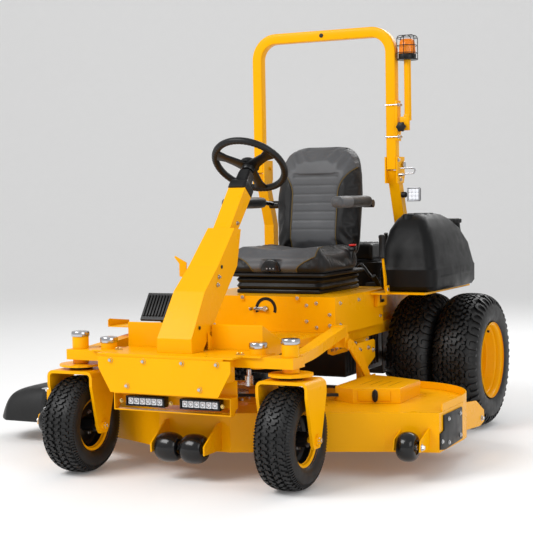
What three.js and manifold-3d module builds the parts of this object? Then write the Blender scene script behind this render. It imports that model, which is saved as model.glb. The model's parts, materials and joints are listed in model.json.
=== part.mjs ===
// A commercial zero-turn mower with a steering wheel, steered front forks, dual rear wheels,
// a floating side-discharge deck and a folding roll bar. Millimetres, +Z up.
// Machine axes: the nose points along -Y, the machine's left is +X, the ground is z = 0.

import * as THREE from 'three';
import { mergeVertices } from 'three/addons/utils/BufferGeometryUtils.js';
import Module from 'manifold-3d';

const wasm = await Module();
wasm.setup();

// Driving dimensions
const GAP = 0.4;                 // air between pieces that touch on the real machine
const CURVE_STEPS = 4;           // flats in a bend
const REAR_SIDES = 22;           // flats round a wheel
const FRONT_SIDES = 18;
const FRONT_AXLE_Y = -1056;      // wheel centres
const KINGPIN_X = 457;
const KINGPIN_Y = -1050;
const FRONT_TYRE_R = 190;
const REAR_AXLE_Y = 500;
const REAR_TYRE_R = 305;
const OUTER_TYRE_X = 644;
const INNER_TYRE_X = 420;
const TRAY_TOP = 491;
const FLOOR_TOP = 500;
const PEDESTAL_TOP = 648;
const PEDESTAL_X = 331;
const PANEL_Y = -350;
const COLUMN_TILT = THREE.MathUtils.degToRad(40);
const WHEEL_HUB = [0, -456, 1202];
const DECK_BOTTOM = 100;
const DECK_TOP = 250;
const SPINDLES = { left: [575, -400], centre: [0, -630], right: [-575, -400] };
const BLADE_R = 290;
const PULLEY_R = 70;
const BAR_X = 337;               // roll bar leg centre
const BAR_Y = 317;
const BAR_HALF = 24;
const BAR_TOP = 1833;
const FOLD_PIN = [357, 1204];    // y, z of the roll bar's hinge

const FINISH = {
  yellow: { color: 0xf5b50f, roughness: 0.35, metalness: 0.1 },
  black: { color: 0x17181a, roughness: 0.55, metalness: 0.1 },
  rubber: { color: 0x1c1c1d, roughness: 0.9, metalness: 0 },
  plastic: { color: 0x202123, roughness: 0.6, metalness: 0 },
  vinyl: { color: 0x55575b, roughness: 0.75, metalness: 0 },
  steel: { color: 0xb8babd, roughness: 0.3, metalness: 1 },
  amber: { color: 0xd9822b, roughness: 0.2, metalness: 0 },
  engine: { color: 0x2b2d30, roughness: 0.5, metalness: 0.4 },
};

// Shape helpers: each returns a manifold solid

function solid(geometry) {
  const bare = geometry.clone();
  bare.deleteAttribute('normal');
  bare.deleteAttribute('uv');
  const merged = mergeVertices(bare, 1e-3);
  const triVerts = new Uint32Array(merged.index.array);
  const vertProperties = new Float32Array(merged.attributes.position.array);
  if (signedVolume(vertProperties, triVerts) < 0) {
    for (let i = 0; i < triVerts.length; i += 3) {
      [triVerts[i], triVerts[i + 1]] = [triVerts[i + 1], triVerts[i]];
    }
  }
  return new wasm.Manifold(new wasm.Mesh({ numProp: 3, vertProperties, triVerts }));
}

function signedVolume(points, triangles) {
  const corner = (i) => new THREE.Vector3().fromArray(points, triangles[i] * 3);
  let volume = 0;
  for (let i = 0; i < triangles.length; i += 3) {
    volume += corner(i).dot(corner(i + 1).cross(corner(i + 2)));
  }
  return volume;
}

function join(first, ...others) {
  return others.reduce((sum, piece) => sum.add(piece), first);
}

function cut(first, ...others) {
  return others.reduce((rest, piece) => rest.subtract(piece), first);
}

function box(x0, x1, y0, y1, z0, z1) {
  const geometry = new THREE.BoxGeometry(Math.abs(x1 - x0), Math.abs(y1 - y0), Math.abs(z1 - z0));
  return solid(geometry.translate((x0 + x1) / 2, (y0 + y1) / 2, (z0 + z1) / 2));
}

function rod(from, to, radius, sides = 10) {
  const start = new THREE.Vector3(...from);
  const end = new THREE.Vector3(...to);
  const along = end.clone().sub(start);
  const geometry = new THREE.CylinderGeometry(radius, radius, along.length(), sides);
  const turn = new THREE.Quaternion().setFromUnitVectors(new THREE.Vector3(0, 1, 0), along.normalize());
  geometry.applyQuaternion(turn);
  return solid(geometry.translate(...start.add(end).multiplyScalar(0.5).toArray()));
}

// An outline pushed along one axis. Its two coordinates are the other axes in X, Y, Z order.
function prism(axis, outline, from, to) {
  const isPointList = Array.isArray(outline);
  const shape = isPointList ? new THREE.Shape(outline.map(([u, v]) => new THREE.Vector2(u, v))) : outline;
  const geometry = new THREE.ExtrudeGeometry(shape, { depth: to - from, bevelEnabled: false, curveSegments: CURVE_STEPS });
  geometry.translate(0, 0, from);
  const basis = {
    x: [[0, 1, 0], [0, 0, 1], [1, 0, 0]],
    y: [[1, 0, 0], [0, 0, 1], [0, 1, 0]],
    z: [[1, 0, 0], [0, 1, 0], [0, 0, 1]],
  }[axis].map((column) => new THREE.Vector3(...column));
  return solid(geometry.applyMatrix4(new THREE.Matrix4().makeBasis(...basis)));
}

// A [radius, distance] profile turned about the X, Y or Z axis through the origin
function turned(axis, profile, sides) {
  const geometry = new THREE.LatheGeometry(profile.map(([r, a]) => new THREE.Vector2(r, a)), sides);
  if (axis === 'x') geometry.rotateZ(-Math.PI / 2);
  if (axis === 'z') geometry.rotateX(Math.PI / 2);
  return solid(geometry);
}

function roundedRect(u0, u1, v0, v1, r) {
  const shape = new THREE.Shape();
  shape.moveTo(u0 + r, v0);
  shape.lineTo(u1 - r, v0);
  shape.absarc(u1 - r, v0 + r, r, -Math.PI / 2, 0);
  shape.lineTo(u1, v1 - r);
  shape.absarc(u1 - r, v1 - r, r, 0, Math.PI / 2);
  shape.lineTo(u0 + r, v1);
  shape.absarc(u0 + r, v1 - r, r, Math.PI / 2, Math.PI);
  shape.lineTo(u0, v0 + r);
  shape.absarc(u0 + r, v0 + r, r, Math.PI, Math.PI * 1.5);
  return shape;
}

const mirrored = (outline) => outline.map(([x, other]) => [-x, other]).reverse();

// Scene helpers

const machine = new THREE.Group();

function add(name, shape, finish, parent = machine) {
  const mesh = shape.getMesh();
  const geometry = new THREE.BufferGeometry();
  geometry.setAttribute('position', new THREE.BufferAttribute(mesh.vertProperties.slice(), 3));
  geometry.setIndex(new THREE.BufferAttribute(mesh.triVerts.slice(), 1));
  geometry.computeVertexNormals();
  const part = new THREE.Mesh(geometry, new THREE.MeshStandardMaterial(FINISH[finish]));
  part.name = name;
  parent.add(part);
  return part;
}

function placedGroup(x, y, z) {
  const group = new THREE.Group();
  group.position.set(x, y, z);
  machine.add(group);
  return group;
}

const SIDES = [['left', 1], ['right', -1]];

// Main frame: rails, seat pedestal, tank shelf, front arms, rear guard

function frontArm(s) {
  const route = [[440, -999, 467], [436, -850, 478], [420, -706, 493], [396, -540, 506], [366, -384, 512]];
  const path = new THREE.CatmullRomCurve3(route.map(([x, y, z]) => new THREE.Vector3(s * x, y, z)));
  const section = new THREE.Shape([[-27, -20], [27, -20], [27, 20], [-27, 20]].map((p) => new THREE.Vector2(...p)));
  const arm = solid(new THREE.ExtrudeGeometry(section, { extrudePath: path, steps: 10 }));
  return arm.subtract(box(-600, 600, -1100, -1000 + GAP, 300, 600));
}

function mainFrame() {
  let frame = join(
    box(-290, 290, 900, 930, 400, 560),
    box(-290, 290, 1030, 1040, 380, 560),
    box(-PEDESTAL_X, PEDESTAL_X, -422, -346, 440, FLOOR_TOP),
    box(-PEDESTAL_X, PEDESTAL_X, -345, 185, 492, 499),
    box(-PEDESTAL_X, PEDESTAL_X, -345, 300, PEDESTAL_TOP - 6, PEDESTAL_TOP),
    box(-250, 250, 480, 930, 492, 499),
    box(-262, 262, 294, 300, 490, PEDESTAL_TOP),
  );
  for (const [, s] of SIDES) {
    frame = join(
      frame,
      box(s * 250, s * 290, -346, 1035, 440, 493),
      box(s * 325, s * PEDESTAL_X, -345, 185, 495, PEDESTAL_TOP),
      box(s * 262, s * 268, 60, 690, 490, 640),
      box(s * 262, s * (s > 0 ? 575 : 420), 62, 690, 632, 640),
      box(s * (PEDESTAL_X - 5), s * 388, -385, -346, 445, 499),
      frontArm(s),
      box(s * (PEDESTAL_X + GAP), s * 384, -400, -346, 485, 535),
      rod([s * 320, -350, 462], [s * 388, -350, 462], 15),
    );
  }
  const leverBracket = join(
    box(320, 412, 30, 70, 632, 640),
    box(405, 411, 30, 62, 634, 672),
  );
  return cut(join(frame, leverBracket), rod([0, 710, 480], [0, 710, 510], 60, 16));
}

add('main_frame', mainFrame(), 'yellow');

// Front axle: beam, tray, nose box, king-pin barrels, idler posts with caps

function frontAxle() {
  let axle = join(
    box(-490, 490, -1100, -1000, 447, 487),
    box(-290, 290, -1185.5, -962, 485, TRAY_TOP),
    box(-250, 250, -1185.5, -1095, 395, 488),
  );
  for (const [, s] of SIDES) {
    axle = join(
      axle,
      rod([s * KINGPIN_X, KINGPIN_Y, 430], [s * KINGPIN_X, KINGPIN_Y, 534], 31.75, 16),
      rod([s * 325, -1049, 440], [s * 325, -1049, 516], 30.5, 16),
      rod([s * 325, -1049, 516], [s * 325, -1049, 537], 25, 16),
      box(s * 270, s * 365, -1110, -990, 485, TRAY_TOP),
    );
  }
  for (const [, s] of SIDES) {
    axle = axle.subtract(rod([s * KINGPIN_X, KINGPIN_Y, 400], [s * KINGPIN_X, KINGPIN_Y, 600], 17, 12));
  }
  return axle;
}

add('front_axle', frontAxle(), 'yellow');

function frontPlate() {
  const outline = [[-283, 479], [283, 479], [283, 437], [230, 345], [-230, 345], [-283, 437]];
  const bolts = [[-227, 466], [-82.5, 466], [82.5, 466], [227, 466], [-156, 372], [156, 372]];
  const heads = bolts.map(([x, z]) => rod([x, -1197, z], [x, -1190, z], 10, 10));
  return join(prism('y', outline, -1192, -1186), ...heads);
}

add('front_plate', frontPlate(), 'yellow');

function lightBracket() {
  const cheek = [[-1134, 336], [-1078, 336], [-1078, 300], [-1110, 272], [-1134, 269]];
  return join(
    box(-252, 252, -1134, -1078, 332, 336),
    box(-252, 252, -1082, -1078, 290, 395 - GAP),
    box(-252, 252, -1134, -1100, 269, 273),
    prism('x', cheek, -252, -248),
    prism('x', cheek, 248, 252),
  );
}

add('light_bracket', lightBracket(), 'yellow');
for (const [side, s] of SIDES) {
  const housing = prism('x', roundedRect(-1131, -1094, 284, 325, 8), s > 0 ? 36 : -200, s > 0 ? 200 : -36);
  add(`light_bar_${side}`, housing, 'black');
}

// Steering tower, column and wheel

function towerCover(inset) {
  const lower = [
    [-1104 + inset, TRAY_TOP + GAP - 2 * inset], [-1102 + inset, 544], [-982 + inset, 713 - inset],
    [-867 + inset, 805 - inset], [-716, 948 - inset], [-660 - inset, 940], [-664 - inset, 935],
    [-708 - inset, 797], [-870 - inset, 640], [-1018 - inset, TRAY_TOP + GAP - 2 * inset],
  ];
  const upper = [[-722, 936], [-574, 1111 + inset], [-525, 1066 + inset], [-674, 905]];
  const slimmer = 2 * inset / 3;
  const neck = upper.map(([y, z], i) => (i < 2 ? [y + slimmer, z - slimmer] : [y - slimmer, z + slimmer]));
  const taper = [[-76 + inset, 480], [76 - inset, 480], [60 - inset, 950], [-60 + inset, 950]];
  return join(
    prism('x', lower, -80, 80).intersect(prism('y', taper, -1200, -600)),
    prism('x', neck, -38 + inset, 38 - inset),
  );
}

add('steering_tower', cut(towerCover(0), towerCover(4)), 'yellow');

function alongColumn(distance) {
  return [0, WHEEL_HUB[1] - distance * Math.sin(COLUMN_TILT), WHEEL_HUB[2] - distance * Math.cos(COLUMN_TILT)];
}

add('steering_column', join(
  rod(alongColumn(24), alongColumn(820), 15, 12),
  rod(alongColumn(40), alongColumn(120), 27, 16),
), 'black');

const wheelGroup = placedGroup(...WHEEL_HUB);
wheelGroup.rotation.x = -COLUMN_TILT;

function steeringWheel() {
  const rim = [];
  for (let i = 0; i <= 6; i += 1) {
    const a = (i * Math.PI) / 3;
    rim.push([152 + 13 * Math.cos(a), 13 * Math.sin(a)]);
  }
  const spokes = [90, 210, 330].map((degrees) => {
    const a = THREE.MathUtils.degToRad(degrees);
    return rod([0, 0, -8], [150 * Math.cos(a), 150 * Math.sin(a), 0], 10, 6);
  });
  return join(turned('z', rim, 24), rod([0, 0, -22], [0, 0, 14], 40, 16), ...spokes);
}

add('steering_wheel', steeringWheel(), 'black', wheelGroup);

// Foot pan, pedal and seat panel

function footPan() {
  const side = [[-954, 450], [-954, 585], [-950, 587], [-767, FLOOR_TOP], [-424, FLOOR_TOP], [-424, 470],
    [-767, 470], [-930, 450]];
  const inner = [[-950, 300], [-950, 582], [-766, 495], [-400, 495], [-400, 300]];
  const pan = cut(prism('x', side, -296, 296), prism('x', inner, -291, 291));
  return cut(pan, box(-79, 79, -975, -880, 520, 600));
}

add('foot_pan', footPan(), 'yellow');

function pedal() {
  return join(
    prism('x', [[-742, 575], [-736, 568], [-664, 672], [-670, 679]], -372, -254),
    rod([-314, -698, 622], [-314, -640, 520], 7, 8),
    rod([-345, -640, 520], [-298, -640, 520], 10, 8),
  );
}

add('foot_pedal', pedal(), 'black');

function seatPanel() {
  return join(
    prism('y', roundedRect(-PEDESTAL_X, PEDESTAL_X, FLOOR_TOP + GAP, PEDESTAL_TOP, 6), PANEL_Y, PANEL_Y + 4.6),
    box(-106, -90, PANEL_Y - 6, PANEL_Y + 1, 628, 655),
    box(152, 168, PANEL_Y - 6, PANEL_Y + 1, 628, 655),
  );
}

add('seat_panel', seatPanel(), 'yellow');

const DIAL = [11, 594];
const LEVER_REACH = 64;
add('height_lever', join(
  rod([DIAL[0], PANEL_Y - 14, DIAL[1]], [DIAL[0], PANEL_Y - GAP, DIAL[1]], 13, 12),
  box(DIAL[0] - LEVER_REACH, DIAL[0], PANEL_Y - 12, PANEL_Y - 6, DIAL[1] - 7, DIAL[1] + 7),
  box(DIAL[0] - LEVER_REACH, DIAL[0] - LEVER_REACH + 8, PANEL_Y - 34, PANEL_Y - 6, DIAL[1] - 7, DIAL[1] + 7),
), 'steel');

add('brake_lever', join(
  prism('x', [[36, 650], [60, 650], [56, 700], [22, 800], [12, 800], [32, 700]], 396, 403),
  rod([399.5, 15, 795], [399.5, 9, 895], 15, 12),
  rod([396, 48, 655], [404.5, 48, 655], 14, 12),
), 'yellow');

// Seat

add('seat_base', join(
  box(-200, 200, -215, 235, PEDESTAL_TOP + GAP, 666),
  box(-150, 150, -225, -210, PEDESTAL_TOP + GAP, 662),
), 'black');

add('seat_frame', join(
  prism('z', roundedRect(-228, 228, -232, 250, 40), 720, 735),
  box(-170, -140, 238, 262, 722, 786),
  box(140, 170, 238, 262, 722, 786),
), 'black');

function seatCushion() {
  const side = [[-212, 735 + GAP], [-248, 752], [-250, 800], [-232, 838], [-190, 848], [130, 822], [150, 800],
    [150, 735 + GAP]];
  return prism('x', side, -238, 238).intersect(prism('z', roundedRect(-238, 238, -250, 150, 60), 700, 900));
}

add('seat_cushion', seatCushion(), 'vinyl');

function seatBack() {
  const side = [[156, 800], [232, 790], [262, 900], [325, 1180], [352, 1280], [338, 1297], [296, 1290], [262, 1180],
    [186, 900]];
  const front = new THREE.Shape();
  front.moveTo(-198, 790);
  front.lineTo(198, 790);
  front.lineTo(212, 1080);
  front.lineTo(186, 1240);
  front.lineTo(130, 1297);
  front.lineTo(-130, 1297);
  front.lineTo(-186, 1240);
  front.lineTo(-212, 1080);
  return prism('x', side, -214, 214).intersect(prism('y', front, 100, 400));
}

add('seat_back', seatBack(), 'vinyl');

for (const [side, s] of SIDES) {
  add(`armrest_${side}`, join(
    prism('x', roundedRect(-180, 190, 1022, 1066, 18), s > 0 ? 236 : -292, s > 0 ? 292 : -236),
    rod([s * 214.5, 262, 1030], [s * 262, 262, 1030], 18, 12),
    prism('x', [[150, 1030], [170, 1062], [270, 1048], [275, 1014]], s > 0 ? 240 : -262, s > 0 ? 262 : -240),
  ), 'plastic');
}

// Fuel tank on the machine's left, behind and beside the seat

function fuelTank() {
  const side = [[84, 648], [80, 900], [122, 984], [300, 976], [480, 943], [600, 908], [684, 852], [694, 720],
    [660, 640 + GAP], [110, 640 + GAP]];
  const across = [[335, 640], [598, 640], [612, 668], [612, 830], [580, 985], [350, 990], [335, 960]];
  const tank = prism('x', side, 330, 620).intersect(prism('y', across, 60, 720));
  return join(
    cut(tank, box(300, 366, 286, 720, 600, 1000)),
    rod([520, 610, 880], [520, 610, 930], 34, 14),
  );
}

add('fuel_tank', fuelTank(), 'plastic');
const capGroup = placedGroup(520, 610, 930 + GAP);
add('fuel_cap', rod([0, 0, 0], [0, 0, 22], 42, 14), 'plastic', capGroup);

// Engine, muffler and drive axles

add('engine', join(
  box(-140, 140, 570, 850, 499 + GAP, 640),
  rod([0, 710, 630], [0, 710, 745], 180, 20),
  box(-235, -120, 500, 650, 545, 650),
  box(120, 235, 500, 650, 545, 650),
  prism('z', roundedRect(-120, 120, 580, 800, 40), 740, 830),
  rod([0, 710, 380], [0, 710, 510], 18, 12),
  rod([0, 710, 350], [0, 710, 400], 72, 16),
), 'engine');

add('muffler', join(
  rod([-160, 972, 628], [160, 972, 628], 50, 16),
  rod([110, 905, 628], [110, 960, 628], 16, 10),
  rod([-120, 972, 628], [-120, 972, 560], 16, 10),
), 'steel');

function driveAxles() {
  const sides = SIDES.map(([, s]) => join(
    box(s * 120, s * 235, 420, 590, 230, 425),
    rod([s * 230, REAR_AXLE_Y, REAR_TYRE_R], [s * 298, REAR_AXLE_Y, REAR_TYRE_R], 24, 12),
  ));
  return join(rod([-125, 480, 360], [125, 480, 360], 22, 10), ...sides);
}

add('drive_axles', driveAxles(), 'engine');

// Rear wheels: one long barrel carries the two tyres of a side

function rearRims(s) {
  const profile = [[0, 299], [60, 299], [60, 560], [144, 560], [144, 319], [171, 319], [171, 325], [150, 325],
    [150, 739], [171, 739], [171, 745], [144, 745], [144, 568], [46, 568], [46, 590], [0, 590]];
  return turned('x', profile.map(([r, x]) => [r, s * x]), REAR_SIDES);
}

function tyre(profileHalf, sides) {
  const other = profileHalf.map(([r, x]) => [r, -x]).reverse();
  return turned('x', [...profileHalf, ...other, profileHalf[0]], sides);
}

const REAR_TYRE = [[151, 90], [174, 91], [178, 103], [240, 108], [294, 99], [REAR_TYRE_R, 76]].reverse();
const FRONT_TYRE = [[92, 58], [107, 59], [111, 70], [150, 77], [182, 68], [FRONT_TYRE_R, 48]].reverse();

for (const [side, s] of SIDES) {
  const hub = placedGroup(0, REAR_AXLE_Y, REAR_TYRE_R);
  add(`rear_rims_${side}`, rearRims(s), 'yellow', hub);
  add(`rear_tyre_outer_${side}`, tyre(REAR_TYRE, REAR_SIDES), 'rubber', hub).position.x = s * OUTER_TYRE_X;
  add(`rear_tyre_inner_${side}`, tyre(REAR_TYRE, REAR_SIDES), 'rubber', hub).position.x = s * INNER_TYRE_X;
}

// Front wheels and forks

function frontRim() {
  const profile = [[13, -70], [28, -70], [28, -6], [84, -6], [84, -65], [105, -65], [105, -60], [91, -60], [91, 60],
    [105, 60], [105, 65], [84, 65], [84, 6], [28, 6], [28, 70], [13, 70], [13, -70]];
  return turned('x', profile, FRONT_SIDES);
}

function forkOutline(half, top, r) {
  const shape = new THREE.Shape();
  shape.moveTo(-half, 100);
  shape.lineTo(half, 100);
  shape.lineTo(half, top - r);
  shape.absarc(half - r, top - r, r, 0, Math.PI / 2);
  shape.lineTo(-half + r, top);
  shape.absarc(-half + r, top - r, r, Math.PI / 2, Math.PI);
  return shape;
}

function fork() {
  const legSide = [[-83, 420], [-83, 350], [-42, 178], [-30, 160], [18, 160], [30, 178], [83, 350], [83, 420]];
  const bent = cut(prism('y', forkOutline(104, 407, 26), -90, 90), prism('y', forkOutline(92, 395, 14), -95, 95));
  const axleY = FRONT_AXLE_Y - KINGPIN_Y;
  return join(
    bent.intersect(prism('x', legSide, -110, 110)),
    rod([-119, axleY, FRONT_TYRE_R], [119, axleY, FRONT_TYRE_R], 12, 12),
    rod([-112, axleY, FRONT_TYRE_R], [-103, axleY, FRONT_TYRE_R], 22, 6),
    rod([103, axleY, FRONT_TYRE_R], [112, axleY, FRONT_TYRE_R], 22, 6),
    rod([0, 0, 405], [0, 0, 422], 40, 12),
    rod([0, 0, 419], [0, 0, 428], 84, 14),
    rod([0, 0, 420], [0, 0, 538], 15.8, 12),
    rod([0, 0, 534 + GAP], [0, 0, 552], 27, 14),
  );
}

for (const [side, s] of SIDES) {
  const pivot = placedGroup(s * KINGPIN_X, KINGPIN_Y, 0);
  add(`fork_${side}`, fork(), 'yellow', pivot);
  const hub = placedGroup(s * KINGPIN_X, FRONT_AXLE_Y, FRONT_TYRE_R);
  add(`front_rim_${side}`, frontRim(), 'black', hub);
  add(`front_tyre_${side}`, tyre(FRONT_TYRE, FRONT_SIDES), 'rubber', hub);
}

function tieRod() {
  const ends = SIDES.map(([, s]) => join(
    rod([s * 291, -1060, 376], [s * 291, -1060, 412], 15, 12),
    rod([s * 291, -1060, 410], [s * 291, -1060, 436], 8, 10),
  ));
  return join(rod([-296, -1060, 385], [296, -1060, 385], 9, 10), ...ends);
}

add('tie_rod', tieRod(), 'steel');

// Mowing deck

function deckOutline(inset) {
  const shape = new THREE.Shape();
  const r = 318 - inset;
  const [x, y] = SPINDLES.left;
  const front = [[156 - 0.4 * inset, -963 + inset], [499 - 0.4 * inset, -815 + inset],
    [696 - 0.3 * inset, -738 + inset], [x + r, -681 + inset]];
  shape.moveTo(-front[0][0], front[0][1]);
  for (const point of front) shape.lineTo(...point);
  shape.lineTo(x + r, y);
  shape.absarc(x, y, r, 0, Math.PI / 2);
  shape.lineTo(250, -190 - inset);
  shape.lineTo(0, -300 - inset);
  shape.lineTo(-250, -190 - inset);
  shape.lineTo(-x, y + r);
  shape.absarc(-x, y, r, Math.PI / 2, Math.PI);
  for (const [fx, fy] of [...front].reverse()) shape.lineTo(-fx, fy);
  return shape;
}

function rollerCheeks(s) {
  const front = [[-952, 108], [-952, 214], [-985, 214], [-1098, 142], [-1098, 108]];
  const corner = [[-676, 112], [-676, 200], [-790, 160], [-800, 120]];
  const rear = (start) => [[start, 120], [start, 232], [-150, 218], [-45, 165], [-45, 118], [-100, 106]];
  return [[112, 118, front], [750, 756, corner], [854, 860, corner], [785, 791, rear(-176)], [863, 869, rear(-298)]]
    .map(([x0, x1, outline]) => prism('x', outline, Math.min(s * x0, s * x1), Math.max(s * x0, s * x1)));
}

function deckShell() {
  let deck = cut(prism('z', deckOutline(0), DECK_BOTTOM, DECK_TOP),
    prism('z', deckOutline(6), DECK_BOTTOM - 10, DECK_TOP - 6));
  for (const [, s] of SIDES) {
    deck = join(deck, ...rollerCheeks(s), box(s * 405, s * 411, -150, -112, 245, 305));
  }
  for (const [x, y] of Object.values(SPINDLES)) {
    deck = join(deck, rod([x, y, 236], [x, y, 264], 44, 12));
    deck = deck.subtract(rod([x, y, 200], [x, y, 300], 19, 12));
  }
  return deck.subtract(box(-900, -880, -640, -250, 90, 228));
}

add('deck_shell', deckShell(), 'yellow');

function beltCover(s) {
  const outer = [[404, -530], [500, -577], [676, -515], [668, -262], [500, -190], [404, -172]];
  const inner = [[380, -512], [499, -571], [670, -510], [662, -266], [498, -196], [380, -174]];
  const side = (outline) => (s > 0 ? outline : mirrored(outline));
  const cover = cut(prism('z', side(outer), DECK_TOP + GAP, 310), prism('z', side(inner), 200, 306));
  const beltSlot = box(s * 395, s * 450, -570, -500, 262, 287);
  return join(cover.subtract(beltSlot),
    rod([s * 520, -430, 308], [s * 520, -430, 318], 14, 10),
    rod([s * 520, -430, 316], [s * 520, -430, 338], 20, 10));
}

for (const [side, s] of SIDES) add(`belt_cover_${side}`, beltCover(s), 'yellow');

function spindle(angle) {
  const a = THREE.MathUtils.degToRad(angle);
  const tip = [BLADE_R * Math.cos(a), BLADE_R * Math.sin(a)];
  const across = [-30 * Math.sin(a), 30 * Math.cos(a)];
  const blade = [[tip, across, 1, 1], [tip, across, -1, 1], [tip, across, -1, -1], [tip, across, 1, -1]]
    .map(([t, c, i, j]) => [i * t[0] + j * c[0], i * t[1] + j * c[1]]);
  return join(
    prism('z', blade, 125, 131),
    rod([0, 0, 122], [0, 0, 140], 30, 12),
    rod([0, 0, 135], [0, 0, 295], 15, 12),
    rod([0, 0, 264 + GAP], [0, 0, 284], PULLEY_R - 10, 20),
  );
}

for (const [side, [x, y]] of Object.entries(SPINDLES)) {
  add(`blade_spindle_${side}`, spindle(side === 'centre' ? 20 : 0), 'steel', placedGroup(x, y, 0));
}

// The belt runs straight between pulleys and round each one
function beltOutline(radius) {
  const stops = [SPINDLES.left, SPINDLES.right, SPINDLES.centre];
  const shape = new THREE.Shape();
  const heading = (from, to) => Math.atan2(to[1] - from[1], to[0] - from[0]) - Math.PI / 2;
  stops.forEach((stop, i) => {
    const before = heading(stops[(i + 2) % 3], stop);
    let after = heading(stop, stops[(i + 1) % 3]);
    while (after < before) after += 2 * Math.PI;
    if (i === 0) shape.moveTo(stop[0] + radius * Math.cos(before), stop[1] + radius * Math.sin(before));
    shape.absarc(stop[0], stop[1], radius, before, after, false);
  });
  return shape;
}

add('deck_belt', cut(
  prism('z', beltOutline(PULLEY_R + 2), 268, 280),
  prism('z', beltOutline(PULLEY_R - 8 + GAP), 260, 290),
), 'rubber');

add('front_rollers', join(
  rod([6, 0, 0], [104, 0, 0], 57, 16),
  rod([-104, 0, 0], [-6, 0, 0], 57, 16),
  rod([-111, 0, 0], [111, 0, 0], 12, 10),
), 'plastic', placedGroup(0, -1060, 125));

for (const [side, s] of SIDES) {
  add(`side_roller_${side}`, join(
    rod([-38, 0, 0], [38, 0, 0], 56, 18),
    rod([-47.5, 0, 0], [47.5, 0, 0], 12, 10),
  ), 'plastic', placedGroup(s * 805, -782, 135));
  add(`rear_wheel_small_${side}`, join(
    rod([-26, 0, 0], [26, 0, 0], 50, 18),
    rod([-34.5, 0, 0], [34.5, 0, 0], 10, 10),
  ), 'plastic', placedGroup(s * 827, -78, 135));
}

const chuteGroup = placedGroup(-909, -440, 241);
chuteGroup.rotation.y = -THREE.MathUtils.degToRad(14);

function chute() {
  const leaf = [[0, -215], [-150, -215], [-262, -160], [-348, -40], [-356, 30], [-290, 130], [-160, 195], [0, 205]];
  const hollow = [[10, -210], [-148, -210], [-258, -156], [-342, -38], [-350, 28], [-287, 126], [-158, 190], [10, 200]];
  return join(
    cut(prism('z', leaf, -60, 0), prism('z', hollow, -70, -5)),
    rod([-4, -215, 4], [-4, 205, 4], 8, 8),
  );
}

add('discharge_chute', chute(), 'plastic', chuteGroup);

for (const [side, s] of SIDES) {
  const crank = [[-378, 466], [-352, 480], [-322, 470], [-205, 390], [-132, 300], [-132, 276], [-158, 270],
    [-235, 340], [-350, 432], [-374, 440]];
  add(`lift_arm_${side}`, prism('x', crank, s > 0 ? 389 : -397, s > 0 ? 397 : -389), 'yellow');
}

// Roll bar: two lower legs, folding hoop, beacon mast, beacon, work light

for (const [side, s] of SIDES) {
  const leg = [[305, 1178], [353, 1178], [445, 932], [445, 640 + GAP], [395, 640 + GAP], [395, 932]];
  const cheek = [[292, 1120], [292, 1240], [385, 1240], [385, 1150], [372, 1120]];
  const span = (x0, x1) => [Math.min(s * x0, s * x1), Math.max(s * x0, s * x1)];
  add(`roll_bar_leg_${side}`, join(
    prism('x', leg, ...span(BAR_X - 25, BAR_X + 25)),
    prism('x', cheek, ...span(BAR_X - 31, BAR_X - 24.6)),
    prism('x', cheek, ...span(BAR_X + 24.6, BAR_X + 31)),
    rod([s * (BAR_X - 38), ...FOLD_PIN], [s * (BAR_X + 38), ...FOLD_PIN], 9, 10),
    box(...span(BAR_X - 40, BAR_X + 25), 385, 470, 640 + GAP, 650),
  ), 'yellow');
}

function barOutline(half, top, r) {
  const shape = new THREE.Shape();
  shape.moveTo(half, 1182);
  shape.lineTo(half, top - r);
  shape.absarc(half - r, top - r, r, 0, Math.PI / 2);
  shape.lineTo(-half + r, top);
  shape.absarc(-half + r, top - r, r, Math.PI / 2, Math.PI);
  shape.lineTo(-half, 1182);
  return shape;
}

function rollBarHoop() {
  let hoop = cut(
    prism('y', barOutline(BAR_X + BAR_HALF, BAR_TOP, 120), BAR_Y - BAR_HALF, BAR_Y + BAR_HALF),
    prism('y', barOutline(BAR_X - BAR_HALF, BAR_TOP - 2 * BAR_HALF, 72), BAR_Y - 60, BAR_Y + 60),
    box(-400, 400, 200, 400, 1000, 1182),
  );
  for (const [, s] of SIDES) {
    const x0 = s * (BAR_X - BAR_HALF);
    const x1 = s * (BAR_X + BAR_HALF);
    hoop = join(hoop,
      box(x0, x1, BAR_Y, FOLD_PIN[0], 1184, 1228),
      rod([x0, ...FOLD_PIN], [x1, ...FOLD_PIN], 23, 16));
    hoop = hoop.subtract(rod([x0 - s * 5, ...FOLD_PIN], [x1 + s * 5, ...FOLD_PIN], 10, 10));
  }
  return join(hoop,
    box(BAR_X + 20, BAR_X + 33, 292, 342, 1310, 1496),
    box(BAR_X + 30, BAR_X + 44, 314, 320, 1350, 1400));
}

add('roll_bar_hoop', rollBarHoop(), 'yellow');

const MAST = [412, 318];
add('beacon_mast', join(
  box(380, 424, 296, 313.6, 1356, 1420),
  rod([...MAST, 1404], [...MAST, 1676], 16, 12),
  rod([...MAST, 1674], [...MAST, 1680], 48, 16),
  rod([392, 280, 1373], [392, 298, 1373], 18, 10),
  ...[0, 90, 180, 270].map((degrees) => {
    const a = THREE.MathUtils.degToRad(degrees);
    const [x, y] = [MAST[0] + 44 * Math.cos(a), MAST[1] + 44 * Math.sin(a)];
    return join(rod([x, y, 1678], [x, y, 1776], 3, 6), rod([x, y, 1776], [...MAST, 1788], 3, 6));
  }),
), 'yellow');

add('beacon', turned('z', [[0, 0], [40, 0], [40, 22], [34, 24], [32, 78], [24, 88], [0, 90]], 14), 'amber',
  placedGroup(...MAST, 1680 + GAP));

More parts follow.
